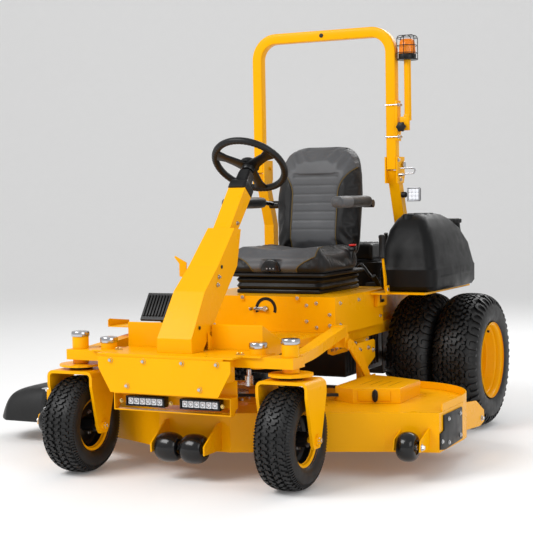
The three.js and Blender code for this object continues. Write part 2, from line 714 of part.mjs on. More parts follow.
add('work_light', join(
  box(394, 456, 344, 368, 1036, 1100),
  box(BAR_X + 25 + GAP, 400, 348, 364, 1056, 1078),
  rod([366, 356, 1067], [384, 356, 1067], 14, 10),
), 'plastic');

// Stand the machine on the origin: the centre of its box on the ground

machine.updateMatrixWorld(true);
const extent = new THREE.Box3().setFromObject(machine, true);
const centre = extent.getCenter(new THREE.Vector3());
machine.position.set(-centre.x, -centre.y, -extent.min.z);

const mower = new THREE.Group();
mower.add(machine);

export default mower;
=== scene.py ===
# %% [markdown]
# # Dressing a zero-turn mower
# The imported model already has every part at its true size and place. This lesson loads it as a
# fixed frame and then adds what a buyer would see: tread, paint, upholstery, bolts and lamps.

# %% Load the frame
import json
import math

import bmesh
import bpy
from mathutils import Matrix, Vector
from mathutils.bvhtree import BVHTree


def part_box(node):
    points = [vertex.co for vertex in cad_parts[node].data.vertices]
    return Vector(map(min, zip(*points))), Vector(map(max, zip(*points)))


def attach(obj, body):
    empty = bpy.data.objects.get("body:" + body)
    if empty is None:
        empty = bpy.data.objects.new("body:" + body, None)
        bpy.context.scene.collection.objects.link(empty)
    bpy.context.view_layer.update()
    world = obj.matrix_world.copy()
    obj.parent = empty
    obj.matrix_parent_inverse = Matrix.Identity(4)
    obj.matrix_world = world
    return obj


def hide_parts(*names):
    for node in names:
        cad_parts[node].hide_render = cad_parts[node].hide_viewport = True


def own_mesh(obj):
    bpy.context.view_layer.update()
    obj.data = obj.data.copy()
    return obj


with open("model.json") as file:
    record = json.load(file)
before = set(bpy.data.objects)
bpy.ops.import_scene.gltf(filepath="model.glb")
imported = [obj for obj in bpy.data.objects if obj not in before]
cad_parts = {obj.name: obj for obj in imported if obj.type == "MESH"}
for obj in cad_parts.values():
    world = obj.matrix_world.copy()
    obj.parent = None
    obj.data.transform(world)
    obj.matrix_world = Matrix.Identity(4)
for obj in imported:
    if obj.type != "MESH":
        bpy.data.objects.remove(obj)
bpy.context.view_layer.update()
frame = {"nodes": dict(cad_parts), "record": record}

NODES = frame["nodes"]

# %% [markdown]
# The row's origin is the centre of the whole box, which the chute pushes to one side. A builder
# measures from the machine's own middle line and rear axle, so `at` turns such a measure
# (x to the machine's left, y with the rear axle at 0.5, z from the ground) into a place in the row.


# %% Machine measures
def middle(node):
    low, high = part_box(node)
    return (low + high) / 2


ORIGIN = Vector((middle("front_axle").x, middle("rear_tyre_outer_left").y - 0.5, 0))
AXLE_HEIGHT = middle("rear_tyre_outer_left").z
SIDES = (("left", 1), ("right", -1))


def at(x, y, z):
    return ORIGIN + Vector((x, y, z))


print("machine origin in the row", [round(v, 4) for v in ORIGIN])

# %% [markdown]
# ## Camera and light
# The camera stands low, in front and to the machine's left, a long lens far away so that the
# machine looks solid rather than stretched. Three soft boxes and a pale floor do the rest.

# %% Camera
FRAME_WIDTH = 533
FOCAL_LENGTH = 1336.2
SENSOR = 36.0
CAMERA_YAW, CAMERA_PITCH, CAMERA_ROLL = (math.radians(a) for a in (26.48, 3.04, -0.98))

lens = bpy.data.cameras.new("camera")
lens.sensor_width = SENSOR
lens.lens = FOCAL_LENGTH / FRAME_WIDTH * SENSOR
lens.clip_end = 60
camera = bpy.data.objects.new("camera", lens)
forward = Vector((-math.sin(CAMERA_YAW) * math.cos(CAMERA_PITCH),
                  math.cos(CAMERA_YAW) * math.cos(CAMERA_PITCH), -math.sin(CAMERA_PITCH)))
level = Vector((math.cos(CAMERA_YAW), math.sin(CAMERA_YAW), 0))
upright = level.cross(forward)
right = level * math.cos(CAMERA_ROLL) + upright * math.sin(CAMERA_ROLL)
top = upright * math.cos(CAMERA_ROLL) - level * math.sin(CAMERA_ROLL)
camera.matrix_world = Matrix.Translation(at(2.536, -5.407, 1.074)) @ Matrix((right, top,
                                                                             -forward)).transposed().to_4x4()
bpy.context.scene.collection.objects.link(camera)
bpy.context.scene.camera = camera


# %% Light and floor
def soft_box(name, place, target, size, power):
    lamp = bpy.data.lights.new(name, "AREA")
    lamp.shape = "RECTANGLE"
    lamp.size, lamp.size_y = size
    lamp.energy = power
    holder = bpy.data.objects.new(name, lamp)
    holder.location = place
    holder.rotation_euler = (Vector(target) - Vector(place)).to_track_quat("-Z", "Y").to_euler()
    bpy.context.scene.collection.objects.link(holder)


soft_box("key_light", (-2.2, -4.5, 4.6), (0, 0, 0.6), (3.5, 2.5), 250)
soft_box("fill_light", (4.8, -3.0, 2.4), (0, 0, 0.7), (3.0, 2.5), 60)
soft_box("back_light", (1.0, 4.5, 4.0), (0, 0, 0.8), (4.0, 2.0), 115)

bpy.context.scene.view_settings.view_transform = "Standard"
world = bpy.data.worlds.new("studio")
bpy.context.scene.world = world
world.use_nodes = True
world.node_tree.nodes["Background"].inputs["Color"].default_value = (1, 1, 1, 1)
world.node_tree.nodes["Background"].inputs["Strength"].default_value = 0.62

# %% [markdown]
# ## Finishes
# Every finish is one principled shader. What varies over a real surface, such as the flow of
# powder coat, dust in a corner or the grain of moulded plastic, comes from noise in the piece's
# own coordinates, so it stays put when a part moves.


# %% Finish helpers
def new_finish(name, rough, metal=0.0, coat=0.0, sheen=0.0):
    material = bpy.data.materials.new(name)
    material.use_nodes = True
    tree = material.node_tree
    shader = tree.nodes["Principled BSDF"]
    shader.inputs["Roughness"].default_value = rough
    shader.inputs["Metallic"].default_value = metal
    shader.inputs["Coat Weight"].default_value = coat
    shader.inputs["Coat Roughness"].default_value = 0.12
    shader.inputs["Sheen Weight"].default_value = sheen
    shader.inputs["Specular IOR Level"].default_value = 0.3
    return material, tree, shader


def node(tree, kind, **inputs):
    made = tree.nodes.new(kind)
    for key, value in inputs.items():
        made.inputs[key.replace("_", " ")].default_value = value
    return made


def own_place(tree):
    return tree.nodes.new("ShaderNodeTexCoord").outputs["Object"]


def noise(tree, scale, detail=4.0):
    texture = node(tree, "ShaderNodeTexNoise", Scale=scale, Detail=detail)
    tree.links.new(own_place(tree), texture.inputs["Vector"])
    return texture.outputs["Fac"]


def ramp(tree, source, stops):
    made = tree.nodes.new("ShaderNodeValToRGB")
    elements = made.color_ramp.elements
    elements[0].position, elements[0].color = stops[0][0], (*stops[0][1], 1)
    elements[1].position, elements[1].color = stops[-1][0], (*stops[-1][1], 1)
    for place, colour in stops[1:-1]:
        elements.new(place).color = (*colour, 1)
    tree.links.new(source, made.inputs["Fac"])
    return made.outputs["Color"]


def shade(colour, factor):
    return tuple(min(1.0, c * factor) for c in colour)


def mottled(tree, shader, colour, spread, scale):
    stops = [(0.3, shade(colour, 1 - spread)), (0.7, shade(colour, 1 + spread))]
    tree.links.new(ramp(tree, noise(tree, scale), stops), shader.inputs["Base Color"])


def rough_patches(tree, shader, low, high, scale):
    stops = [(0.3, (low,) * 3), (0.7, (high,) * 3)]
    tree.links.new(ramp(tree, noise(tree, scale, 6.0), stops), shader.inputs["Roughness"])


def bumpy(tree, shader, height, strength, depth):
    bump = node(tree, "ShaderNodeBump", Strength=strength, Distance=depth)
    tree.links.new(height, bump.inputs["Height"])
    tree.links.new(bump.outputs["Normal"], shader.inputs["Normal"])
    return bump


def finish(name, colour, rough, metal=0.0, coat=0.0, spread=0.08, scale=9.0, grain=250.0, strength=0.15,
           depth=0.0004, patch=0.08, sheen=0.0):
    material, tree, shader = new_finish(name, rough, metal, coat, sheen)
    mottled(tree, shader, colour, spread, scale)
    rough_patches(tree, shader, max(0.02, rough - patch), min(1.0, rough + patch), scale * 2.3)
    bumpy(tree, shader, noise(tree, grain), strength, depth)
    return material


YELLOW = (0.88, 0.405, 0.0006)
PAINT = finish("yellow_powder_coat", YELLOW, 0.3, coat=0.06, spread=0.035, scale=3.0, grain=420,
               strength=0.06)
BLACK_PAINT = finish("black_paint", (0.005, 0.005, 0.0055), 0.34, coat=0.1, spread=0.2, grain=300,
                     strength=0.1)
TYRE = finish("tyre_rubber", (0.0035, 0.0035, 0.0038), 0.5, spread=0.25, scale=14, grain=600, strength=0.3)
BELT = finish("belt_rubber", (0.02, 0.02, 0.02), 0.7, spread=0.2)
PLASTIC = finish("moulded_plastic", (0.006, 0.006, 0.0065), 0.42, spread=0.18, grain=900, strength=0.35,
                 depth=0.0005)
TANK_PLASTIC = finish("tank_plastic", (0.0025, 0.0026, 0.0029), 0.42, spread=0.2, grain=420, strength=0.5,
                      depth=0.0012)
GLOSS_BLACK = finish("roller_plastic", (0.005, 0.005, 0.0055), 0.22, coat=0.2, spread=0.2, grain=200,
                     strength=0.05)
STEEL = finish("zinc_plate", (0.62, 0.62, 0.63), 0.28, metal=1.0, spread=0.1, scale=40, grain=700,
               strength=0.1)
CHROME = finish("chrome_cap", (0.50, 0.50, 0.52), 0.2, metal=1.0, spread=0.05, grain=100, strength=0.03)
BRASS = finish("gold_zinc", (0.62, 0.45, 0.16), 0.3, metal=1.0, spread=0.1, grain=500, strength=0.1)
CAST = finish("cast_engine", (0.05, 0.052, 0.056), 0.5, metal=0.5, spread=0.2, scale=20, grain=500,
              strength=0.5)
HOT_STEEL = finish("muffler_steel", (0.33, 0.31, 0.29), 0.42, metal=1.0, spread=0.25, scale=12, grain=500,
                   strength=0.3)
RED = finish("buckle_red", (0.65, 0.02, 0.015), 0.35, spread=0.1)
BLACK_VINYL = finish("black_vinyl", (0.006, 0.006, 0.0065), 0.4, spread=0.15, grain=1300, strength=0.35)
PIPING = finish("tan_piping", (0.13, 0.085, 0.022), 0.6, spread=0.15, grain=1500, strength=0.3)
SILVER_PAINT = finish("lamp_body", (0.35, 0.36, 0.38), 0.35, metal=0.6, spread=0.08)
for paint, shine in ((PAINT, 0.08), (TANK_PLASTIC, 0.2), (TYRE, 0.42)):
    paint.node_tree.nodes["Principled BSDF"].inputs["Specular IOR Level"].default_value = shine
print(len(bpy.data.materials), "finishes")

# %% [markdown]
# Three finishes need more. A lamp lens glows a little and is clear, the beacon's amber dome is
# ribbed by its mould, and the studio floor is plain.


# %% Lamp finishes and floor
def lens_finish(name, colour, rough, transmission, glow=0.0):
    material, tree, shader = new_finish(name, rough)
    mottled(tree, shader, colour, 0.06, 60)
    shader.inputs["Transmission Weight"].default_value = transmission
    shader.inputs["Emission Color"].default_value = (*colour, 1)
    shader.inputs["Emission Strength"].default_value = glow
    bumpy(tree, shader, noise(tree, 120), 0.1, 0.0005)
    return material


AMBER = lens_finish("amber_dome", (0.9, 0.26, 0.015), 0.15, 0.35, 0.12)
LED = lens_finish("led_lens", (0.8, 0.82, 0.86), 0.12, 0.2, 0.25)
FLOOR = finish("studio_floor", (0.86, 0.86, 0.86), 0.8, spread=0.004, strength=0.01)
FLOOR.node_tree.nodes["Principled BSDF"].inputs["Emission Color"].default_value = (1, 1, 1, 1)
FLOOR.node_tree.nodes["Principled BSDF"].inputs["Emission Strength"].default_value = 0.06


# %% Mesh helpers
def smooth_by_angle(mesh, degrees=35):
    mesh.shade_smooth()
    mesh.set_sharp_from_angle(angle=math.radians(degrees))


def piece(name, form, material, body=None, replaces=(), degrees=35):
    """Turns a bmesh into an object, dresses it and hands it to a body."""
    mesh = bpy.data.meshes.new(name)
    bmesh.ops.recalc_face_normals(form, faces=form.faces)
    form.to_mesh(mesh)
    form.free()
    made = bpy.data.objects.new(name, mesh)
    bpy.context.scene.collection.objects.link(made)
    for each in (material if isinstance(material, (list, tuple)) else [material]):
        mesh.materials.append(each)
    smooth_by_angle(mesh, degrees)
    if body:
        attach(made, body)
    if replaces:
        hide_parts(*replaces)
    return made


def merge(form, other, matrix=None, material=0):
    """Adds one bmesh to another, moved by a matrix."""
    if matrix is not None:
        bmesh.ops.transform(other, matrix=matrix, verts=other.verts)
    for face in other.faces:
        face.material_index = material
    mesh = bpy.data.meshes.new("part")
    other.to_mesh(mesh)
    other.free()
    form.from_mesh(mesh)
    bpy.data.meshes.remove(mesh)
    return form


def block(low, high, bevel=0.002, segments=2):
    """A box between two corners with rounded edges."""
    form = bmesh.new()
    bmesh.ops.create_cube(form, size=1)
    low, high = Vector(low), Vector(high)
    size = Vector([abs(b - a) for a, b in zip(low, high)])
    bmesh.ops.transform(form, matrix=Matrix.Translation((low + high) / 2) @ Matrix.Diagonal((*size, 1)),
                        verts=form.verts)
    if bevel:
        bmesh.ops.bevel(form, geom=form.edges[:], offset=min(bevel, min(size) * 0.45), segments=segments,
                        profile=0.5, affect="EDGES")
    return form


AXIS_TURN = {
    "X": Matrix.Rotation(math.radians(90), 4, "Y"),
    "Y": Matrix.Rotation(math.radians(-90), 4, "X"),
    "Z": Matrix.Identity(4),
}


def lathe(profile, steps=64, axis="Z", place=(0, 0, 0), closed=False):
    """Turns (radius, height) points about an axis. A closed profile makes a ring."""
    form = bmesh.new()
    rings = []
    for radius, height in profile:
        if radius < 1e-6:
            rings.append([form.verts.new((0, 0, height))])
            continue
        rings.append([form.verts.new((radius * math.cos(a), radius * math.sin(a), height))
                      for a in (2 * math.pi * i / steps for i in range(steps))])
    pairs = list(zip(rings, rings[1:])) + ([(rings[-1], rings[0])] if closed else [])
    for first, second in pairs:
        for i in range(steps):
            j = (i + 1) % steps
            corners = [first[i % len(first)], first[j % len(first)], second[j % len(second)],
                       second[i % len(second)]]
            corners = list(dict.fromkeys(corners))
            if len(corners) > 2:
                form.faces.new(corners)
    bmesh.ops.transform(form, matrix=Matrix.Translation(place) @ AXIS_TURN[axis], verts=form.verts)
    return form


def along(direction, place):
    """The matrix that stands a Z shape along a direction at a place."""
    return Matrix.Translation(place) @ Vector(direction).to_track_quat("Z", "Y").to_matrix().to_4x4()


def bar(start, end, radius, steps=24, bevel=0.0008):
    """A round bar with broken edges between two points."""
    start, end = Vector(start), Vector(end)
    length = (end - start).length
    b = min(bevel, radius * 0.4, length * 0.3)
    form = lathe([(0, 0), (radius - b, 0), (radius, b), (radius, length - b), (radius - b, length),
                  (0, length)], steps)
    bmesh.ops.transform(form, matrix=along(end - start, start), verts=form.verts)
    return form


def swept(points, radius, steps=10, closed=False):
    """A round tube through points, each ring square to the path."""
    form = bmesh.new()
    points = [Vector(p) for p in points]
    count = len(points)
    side = None
    rings = []
    for i, point in enumerate(points):
        before = points[i - 1] if (closed or i) else point
        after = points[(i + 1) % count] if (closed or i + 1 < count) else point
        tangent = (after - before).normalized()
        if side is None:
            side = tangent.orthogonal()
        side = (side - tangent * side.dot(tangent)).normalized()
        other = tangent.cross(side)
        rings.append([form.verts.new(point + radius * (math.cos(a) * side + math.sin(a) * other))
                      for a in (2 * math.pi * k / steps for k in range(steps))])
    pairs = list(zip(rings, rings[1:])) + ([(rings[-1], rings[0])] if closed else [])
    for first, second in pairs:
        for k in range(steps):
            form.faces.new((first[k], first[(k + 1) % steps], second[(k + 1) % steps], second[k]))
    if not closed:
        form.faces.new(rings[0])
        form.faces.new(rings[-1])
    return form


def slab(outline, axis, start, end, bevel=0.0):
    """An outline pushed along an axis. Its two numbers are the other axes in X, Y, Z order."""
    form = bmesh.new()
    spread = {"X": lambda u, v, w: (w, u, v), "Y": lambda u, v, w: (u, w, v), "Z": lambda u, v,
              w: (u, v, w)}[axis]
    lower = [form.verts.new(spread(u, v, start)) for u, v in outline]
    upper = [form.verts.new(spread(u, v, end)) for u, v in outline]
    form.faces.new(lower)
    form.faces.new(upper)
    for i in range(len(outline)):
        j = (i + 1) % len(outline)
        form.faces.new((lower[i], lower[j], upper[j], upper[i]))
    bmesh.ops.recalc_face_normals(form, faces=form.faces)
    if bevel:
        bmesh.ops.bevel(form, geom=form.edges[:], offset=bevel, segments=2, profile=0.5, affect="EDGES")
    return form


def moved(form):
    """Shifts a shape drawn in machine measures into the row."""
    bmesh.ops.translate(form, vec=ORIGIN, verts=form.verts)
    return form


print("helpers ready")

# %% [markdown]
# ## Painted steel
# Folded plate never has a razor edge: the press leaves a radius and the powder coat fills it. The
# frame's own solids keep their shape and get a small bevel and their finish.

# %% Dress the frame's own solids
BEVEL = 0.0022
CAD_FINISH = {
    "yellow_paint": PAINT, "black_paint": BLACK_PAINT, "tyre_rubber": TYRE, "belt_rubber": BELT,
    "black_plastic": PLASTIC, "seat_vinyl": BLACK_VINYL, "bright_steel": STEEL, "engine_metal": CAST,
    "amber_lens": AMBER,
}
slots = {entry["node"]: entry["material_slot"] for entry in frame["record"]["subparts"]}
for name, solid in NODES.items():
    solid.data.materials.clear()
    solid.data.materials.append(CAD_FINISH[slots[name]])
    smooth_by_angle(solid.data, 33)
    rounding = solid.modifiers.new("edge", "BEVEL")
    rounding.width = BEVEL
    rounding.segments = 2
    rounding.limit_method = "ANGLE"
    rounding.angle_limit = math.radians(40)
    rounding.harden_normals = True
print(len(NODES), "solids dressed")

# %% [markdown]
# ## Tyres
# A turf tyre is a rounded casing with shallow blocks moulded on it, wide and close together so the
# grass isn't cut. A casing section is a squared ellipse turned about the axle. Each block is a strip
# of quads drawn flat, across the tread and along it, then wrapped round the casing with sloping sides.


# %% Casing and blocks
def bulge(across, half_width, middle_radius, rise, power=2.6):
    share = min(0.985, abs(across) / half_width)
    return middle_radius + rise * (1 - share ** power) ** (1 / power)


def casing(radius, half_width, bead, power=2.6, steps=96):
    middle_radius, rise = (radius + bead) / 2, (radius - bead) / 2
    profile = []
    for i in range(44):
        angle = 2 * math.pi * i / 44
        c, s = math.cos(angle), math.sin(angle)
        profile.append((middle_radius + rise * math.copysign(abs(s) ** (2 / power), s),
                        half_width * math.copysign(abs(c) ** (2 / power), c)))
    return lathe(profile, steps, closed=True)


def wrap_block(form, strip, radius, half_width, bead, depth, angle):
    """Wraps one strip of (across, along) pairs round the tyre at an angle."""
    middle_radius, rise = (radius + bead) / 2, (radius - bead) / 2
    core = sum((Vector(p) for pair in strip for p in pair), Vector((0, 0))) / (2 * len(strip))

    def on_tyre(point, shrink, lift):
        across, along = core + (Vector(point) - core) * shrink
        r = bulge(across, half_width, middle_radius, rise) + lift
        turn = angle + along / radius
        return form.verts.new((r * math.cos(turn), r * math.sin(turn), across))

    tops = [[on_tyre(p, 0.93, 0) for p in pair] for pair in strip]
    feet = [[on_tyre(p, 1.03, -depth * 1.3) for p in pair] for pair in strip]
    for (a, b), (c, d), (e, f), (g, h) in zip(tops, tops[1:], feet, feet[1:]):
        form.faces.new((a, b, d, c))
        form.faces.new((a, c, g, e))
        form.faces.new((b, f, h, d))
    for (a, b), (e, f) in ((tops[0], feet[0]), (tops[-1], feet[-1])):
        form.faces.new((a, e, f, b))


def stroke(points, width):
    """A strip of even width along a line of (across, along) points."""
    strip = []
    for i, point in enumerate(points):
        ahead = Vector(points[min(i + 1, len(points) - 1)]) - Vector(points[max(i - 1, 0)])
        side = Vector((-ahead.y, ahead.x)).normalized() * width / 2
        strip.append((tuple(Vector(point) - side), tuple(Vector(point) + side)))
    return strip


def tyre(name, centre, radius, half_width, bead, depth, pitches, pattern, body):
    form = casing(radius - depth, half_width * 0.985, bead)
    pitch = 2 * math.pi / pitches
    for i in range(pitches):
        for strip, shift in pattern:
            wrap_block(form, strip, radius, half_width, bead, depth, (i + shift) * pitch)
    bmesh.ops.transform(form, matrix=Matrix.Translation(centre) @ AXIS_TURN["X"], verts=form.verts)
    return piece(name + "_treaded", form, TYRE, body, [name], degrees=28)


# %% [markdown]
# The front tyre carries stepped blocks that lock into each other in staggered columns, with fine
# ribs over the shoulder. The rear tyre has hooped shoulder lugs, a curved pair beside them, and
# small staggered blocks down the middle.

# %% Tread patterns
FRONT_PITCHES = 46
FRONT_PATTERN = []
for column, across in enumerate((-0.046, -0.0155, 0.0155, 0.046)):
    lean = 1 if column % 2 else -1
    step_line = [(across - 0.0125, -0.0065 * lean), (across - 0.002, -0.0055 * lean),
                 (across + 0.002, 0.0055 * lean), (across + 0.0125, 0.0065 * lean)]
    FRONT_PATTERN.append((stroke(step_line, 0.0125), 0.5 * (column % 2)))
for side in (-1, 1):
    for part in (0.0, 0.5):
        rib = [(side * a, 0.0) for a in (0.0625, 0.067, 0.0715)]
        FRONT_PATTERN.append((stroke(rib, 0.0065), part))

REAR_PITCHES = 26
REAR_PATTERN = []
for side in (-1, 1):
    stagger = 0.0 if side > 0 else 0.5
    hoop = [(side * a, s) for a, s in ((0.1015, -0.021), (0.092, -0.022), (0.078, -0.021), (0.068, -0.011),
                                       (0.068, 0.011), (0.078, 0.021), (0.092, 0.022), (0.1015, 0.021))]
    REAR_PATTERN.append((stroke(hoop, 0.0125), stagger))
    for way in (-1, 1):
        bow = [(side * a, way * s) for a,
               s in ((0.040, 0.004), (0.049, 0.011), (0.054, 0.021), (0.056, 0.029))]
        REAR_PATTERN.append((stroke(bow, 0.0125), stagger + 0.5))
    for half in (0.0, 0.5):
        for across, shift in ((0.0095, 0.0), (0.0275, 0.25)):
            cube = [(side * (across - 0.0065), -0.002), (side * (across + 0.0065), 0.002)]
            REAR_PATTERN.append((stroke(cube, 0.0225), stagger + half + shift))
    REAR_PATTERN.append((stroke([(side * 0.040, 0.0), (side * 0.057, 0.0)], 0.012), stagger))

# %% Build the tyres
for side, sign in SIDES:
    tyre("front_tyre_" + side, at(sign * 0.457, -1.056, 0.190), 0.190, 0.077, 0.092, 0.0075, FRONT_PITCHES,
         FRONT_PATTERN, "front_wheel_" + side)
    for place, across in (("outer", 0.644), ("inner", 0.420)):
        tyre(f"rear_tyre_{place}_{side}", at(sign * across, 0.5, 0.305), 0.305, 0.108, 0.151, 0.0135,
             REAR_PITCHES,
             REAR_PATTERN, "rear_wheels_" + side)
print("six tyres")

# %% [markdown]
# ## Rims
# The rear wheels are bolted back to back: two rolled barrels with curled flanges, stepped twice where
# the bead seats are rolled in, and a pressed disc with its hub and nuts set deep inside. The front
# rims are small two-part pressings, yellow at the lip and black in the dish.


# %% Bolts
def bolt_shape(place, direction, across=0.016, height=0.009, washer=True):
    """A hexagon bolt head with a washer, standing on a surface."""
    form = bmesh.new()
    r = across / 2
    if washer:
        merge(form, lathe([(0, 0), (r * 1.35, 0), (r * 1.45, 0.0006), (r * 1.45, 0.0014), (r * 1.35, 0.002),
                           (0, 0.002)], 28))
    base = 0.002 if washer else 0
    head = lathe([(0, base), (r, base), (r, base + height * 0.8), (r * 0.84, base + height),
                  (0, base + height)], 6)
    merge(form, head)
    bmesh.ops.transform(form, matrix=along(direction, place), verts=form.verts)
    return form


def bolts(name, places, direction, body, across=0.016, height=0.009, material=STEEL):
    form = bmesh.new()
    for place in places:
        merge(form, bolt_shape(at(*place), direction, across, height))
    return piece(name, form, material, body, degrees=30)


# %% Build the rims
REAR_RIM = [(0.171, 0.745), (0.1735, 0.7425), (0.1725, 0.738), (0.162, 0.735), (0.158, 0.730),
            (0.1565, 0.712),
            (0.1535, 0.709), (0.151, 0.704), (0.150, 0.690), (0.1475, 0.686), (0.147, 0.672), (0.144, 0.668),
            (0.1435, 0.590), (0.138, 0.576), (0.125, 0.5715), (0.088, 0.5715), (0.080, 0.578),
            (0.060, 0.5785),
            (0.048, 0.579), (0.046, 0.586), (0.043, 0.590), (0.0, 0.590)]
REAR_RIM_BACK = [(0.0, 0.556), (0.060, 0.560), (0.130, 0.560), (0.150, 0.566), (0.151, 0.345),
                 (0.1535, 0.330),
                 (0.162, 0.328), (0.1725, 0.325), (0.1735, 0.321), (0.171, 0.319), (0.166, 0.322),
                 (0.157, 0.325),
                 (0.148, 0.334), (0.146, 0.552)]
FRONT_RIM = [(0.105, 0.063), (0.106, 0.0605), (0.103, 0.0575), (0.0965, 0.0565), (0.0925, 0.054),
             (0.0915, 0.045),
             (0.0885, 0.043), (0.088, 0.018), (0.080, 0.008), (0.050, 0.006), (0.040, 0.012), (0.0285, 0.014),
             (0.028, 0.068), (0.025, 0.070), (0.0, 0.070)]


def mirrored_profile(profile):
    return [(r, -h) for r, h in reversed(profile)]


for side, sign in SIDES:
    turn = Matrix.Rotation(math.pi if sign < 0 else 0, 4, "Z")
    form = lathe([(r, h) for r, h in REAR_RIM], 96, "X")
    merge(form, lathe(REAR_RIM_BACK, 96, "X"))
    merge(form, lathe([(0.1715, 0.546), (0.1725, 0.540), (0.162, 0.538), (0.157, 0.534), (0.153, 0.521),
                       (0.1515, 0.509)],
                      96, "X"))
    bmesh.ops.transform(form, matrix=Matrix.Translation(at(0, 0.5, AXLE_HEIGHT)) @ turn, verts=form.verts)
    piece("rear_rim_pressing_" + side, form, PAINT, "rear_wheels_" + side,
          ["rear_rims_" + side])
    ring = [(sign * 0.578, 0.5 + 0.066 * math.cos(a), AXLE_HEIGHT + 0.066 * math.sin(a))
            for a in (math.radians(72 * i + 90) for i in range(5))]
    bolts("wheel_nuts_" + side, ring, (sign, 0, 0), "rear_wheels_" + side, 0.022, 0.014)
    stem = swept([at(sign * x, 0.5, AXLE_HEIGHT + z) for x,
                  z in ((0.690, 0.150), (0.698, 0.141), (0.716, 0.132), (0.728, 0.129))],
                 0.0055, 12)
    piece("rear_valve_stem_" + side, stem, PLASTIC, "rear_wheels_" + side)

    centre = at(sign * 0.457, -1.056, 0.190)
    lip = lathe(FRONT_RIM[:7], 72, "X")
    merge(lip, lathe(mirrored_profile(FRONT_RIM[:7]), 72, "X"))
    bmesh.ops.translate(lip, vec=centre, verts=lip.verts)
    piece("front_rim_lip_" + side, lip, PAINT, "front_wheel_" + side, ["front_rim_" + side])
    dish = lathe(FRONT_RIM[6:], 72, "X")
    merge(dish, lathe(mirrored_profile(FRONT_RIM[6:]), 72, "X"))
    bmesh.ops.translate(dish, vec=centre, verts=dish.verts)
    piece("front_rim_dish_" + side, dish, BLACK_PAINT, "front_wheel_" + side)
    for way in (-1, 1):
        ring = [(sign * 0.457 + way * 0.006, -1.056 + 0.058 * math.cos(a), 0.190 + 0.058 * math.sin(a))
                for a in (math.radians(90 * i + 45) for i in range(4))]
        bolts(f"front_rim_bolts_{side}_{'out' if way > 0 else 'in'}", ring, (way, 0, 0),
              "front_wheel_" + side, 0.013, 0.008)
print("rims")

# %% [markdown]
# ## Steering wheel
# A soft moulded rim on a steel ring, three flat spokes and a round cap. The underside of the rim is
# ribbed for the fingers, which is a small wave in the tube's radius.

# %% Build the steering wheel
HUB = at(0, -0.456, 1.202)
TILT = Matrix.Translation(HUB) @ Matrix.Rotation(math.radians(-40), 4, "X")
ring = [(0.150 * math.cos(a), 0.150 * math.sin(a), 0) for a in (2 * math.pi * i / 180 for i in range(180))]
form = swept(ring, 0.0148, 20, closed=True)
for vertex in form.verts:
    angle = math.atan2(vertex.co.y, vertex.co.x)
    centre = Vector((0.150 * math.cos(angle), 0.150 * math.sin(angle), 0))
    below = max(0.0, -(vertex.co.z - 0.002) / 0.0148)
    vertex.co = centre + (vertex.co - centre) * (1 - 0.10 * below * (0.5 + 0.5 * math.cos(60 * angle)))
bmesh.ops.transform(form, matrix=TILT, verts=form.verts)
piece("steering_rim", form, PLASTIC, "steering_wheel", ["steering_wheel"], degrees=60)
form = bmesh.new()
for angle in (90, 210, 330):
    spoke = slab([(0.0, -0.030), (0.06, -0.022), (0.100, -0.019), (0.148, -0.030), (0.148, 0.030),
                  (0.100, 0.019), (0.06, 0.022),
                  (0.0, 0.030)], "Z", -0.010, 0.002, 0.003)
    for vertex in spoke.verts:
        vertex.co.z -= 0.012 * (1 - min(1, vertex.co.x / 0.15)) ** 2
    merge(form, spoke, Matrix.Rotation(math.radians(angle), 4, "Z"))
merge(form, lathe([(0, -0.034), (0.026, -0.034), (0.028, -0.030), (0.030, -0.012), (0.040, -0.010),
                   (0.0425, -0.004),
                   (0.041, 0.006), (0.036, 0.0115), (0.020, 0.014), (0, 0.0145)], 64))
bmesh.ops.transform(form, matrix=TILT, verts=form.verts)
piece("steering_spokes_and_cap", form, BLACK_PAINT, "steering_wheel")
print("steering wheel")

# %% [markdown]
# ## Upholstery
# Seat foam is moulded, then a sewn vinyl cover is pulled over it, so a cushion is taut and slightly
# crowned between its seams. Each cushion starts as a rounded block, is remeshed to even quads and
# blown up a little by cloth pressure. Seams, channels and piping are added after that.


# %% Cushion maker
CLOTH_FRAMES = 16
PRESSURE = 4.0


def limit_movement(mesh, before, cap):
    for vertex, old in zip(mesh.vertices, before):
        step = vertex.co - old
        if step.length > cap:
            vertex.co = old + step.normalized() * cap


def apply_modifiers(made):
    graph = bpy.context.evaluated_depsgraph_get()
    mesh = bpy.data.meshes.new_from_object(made.evaluated_get(graph))
    made.modifiers.clear()
    made.data = mesh


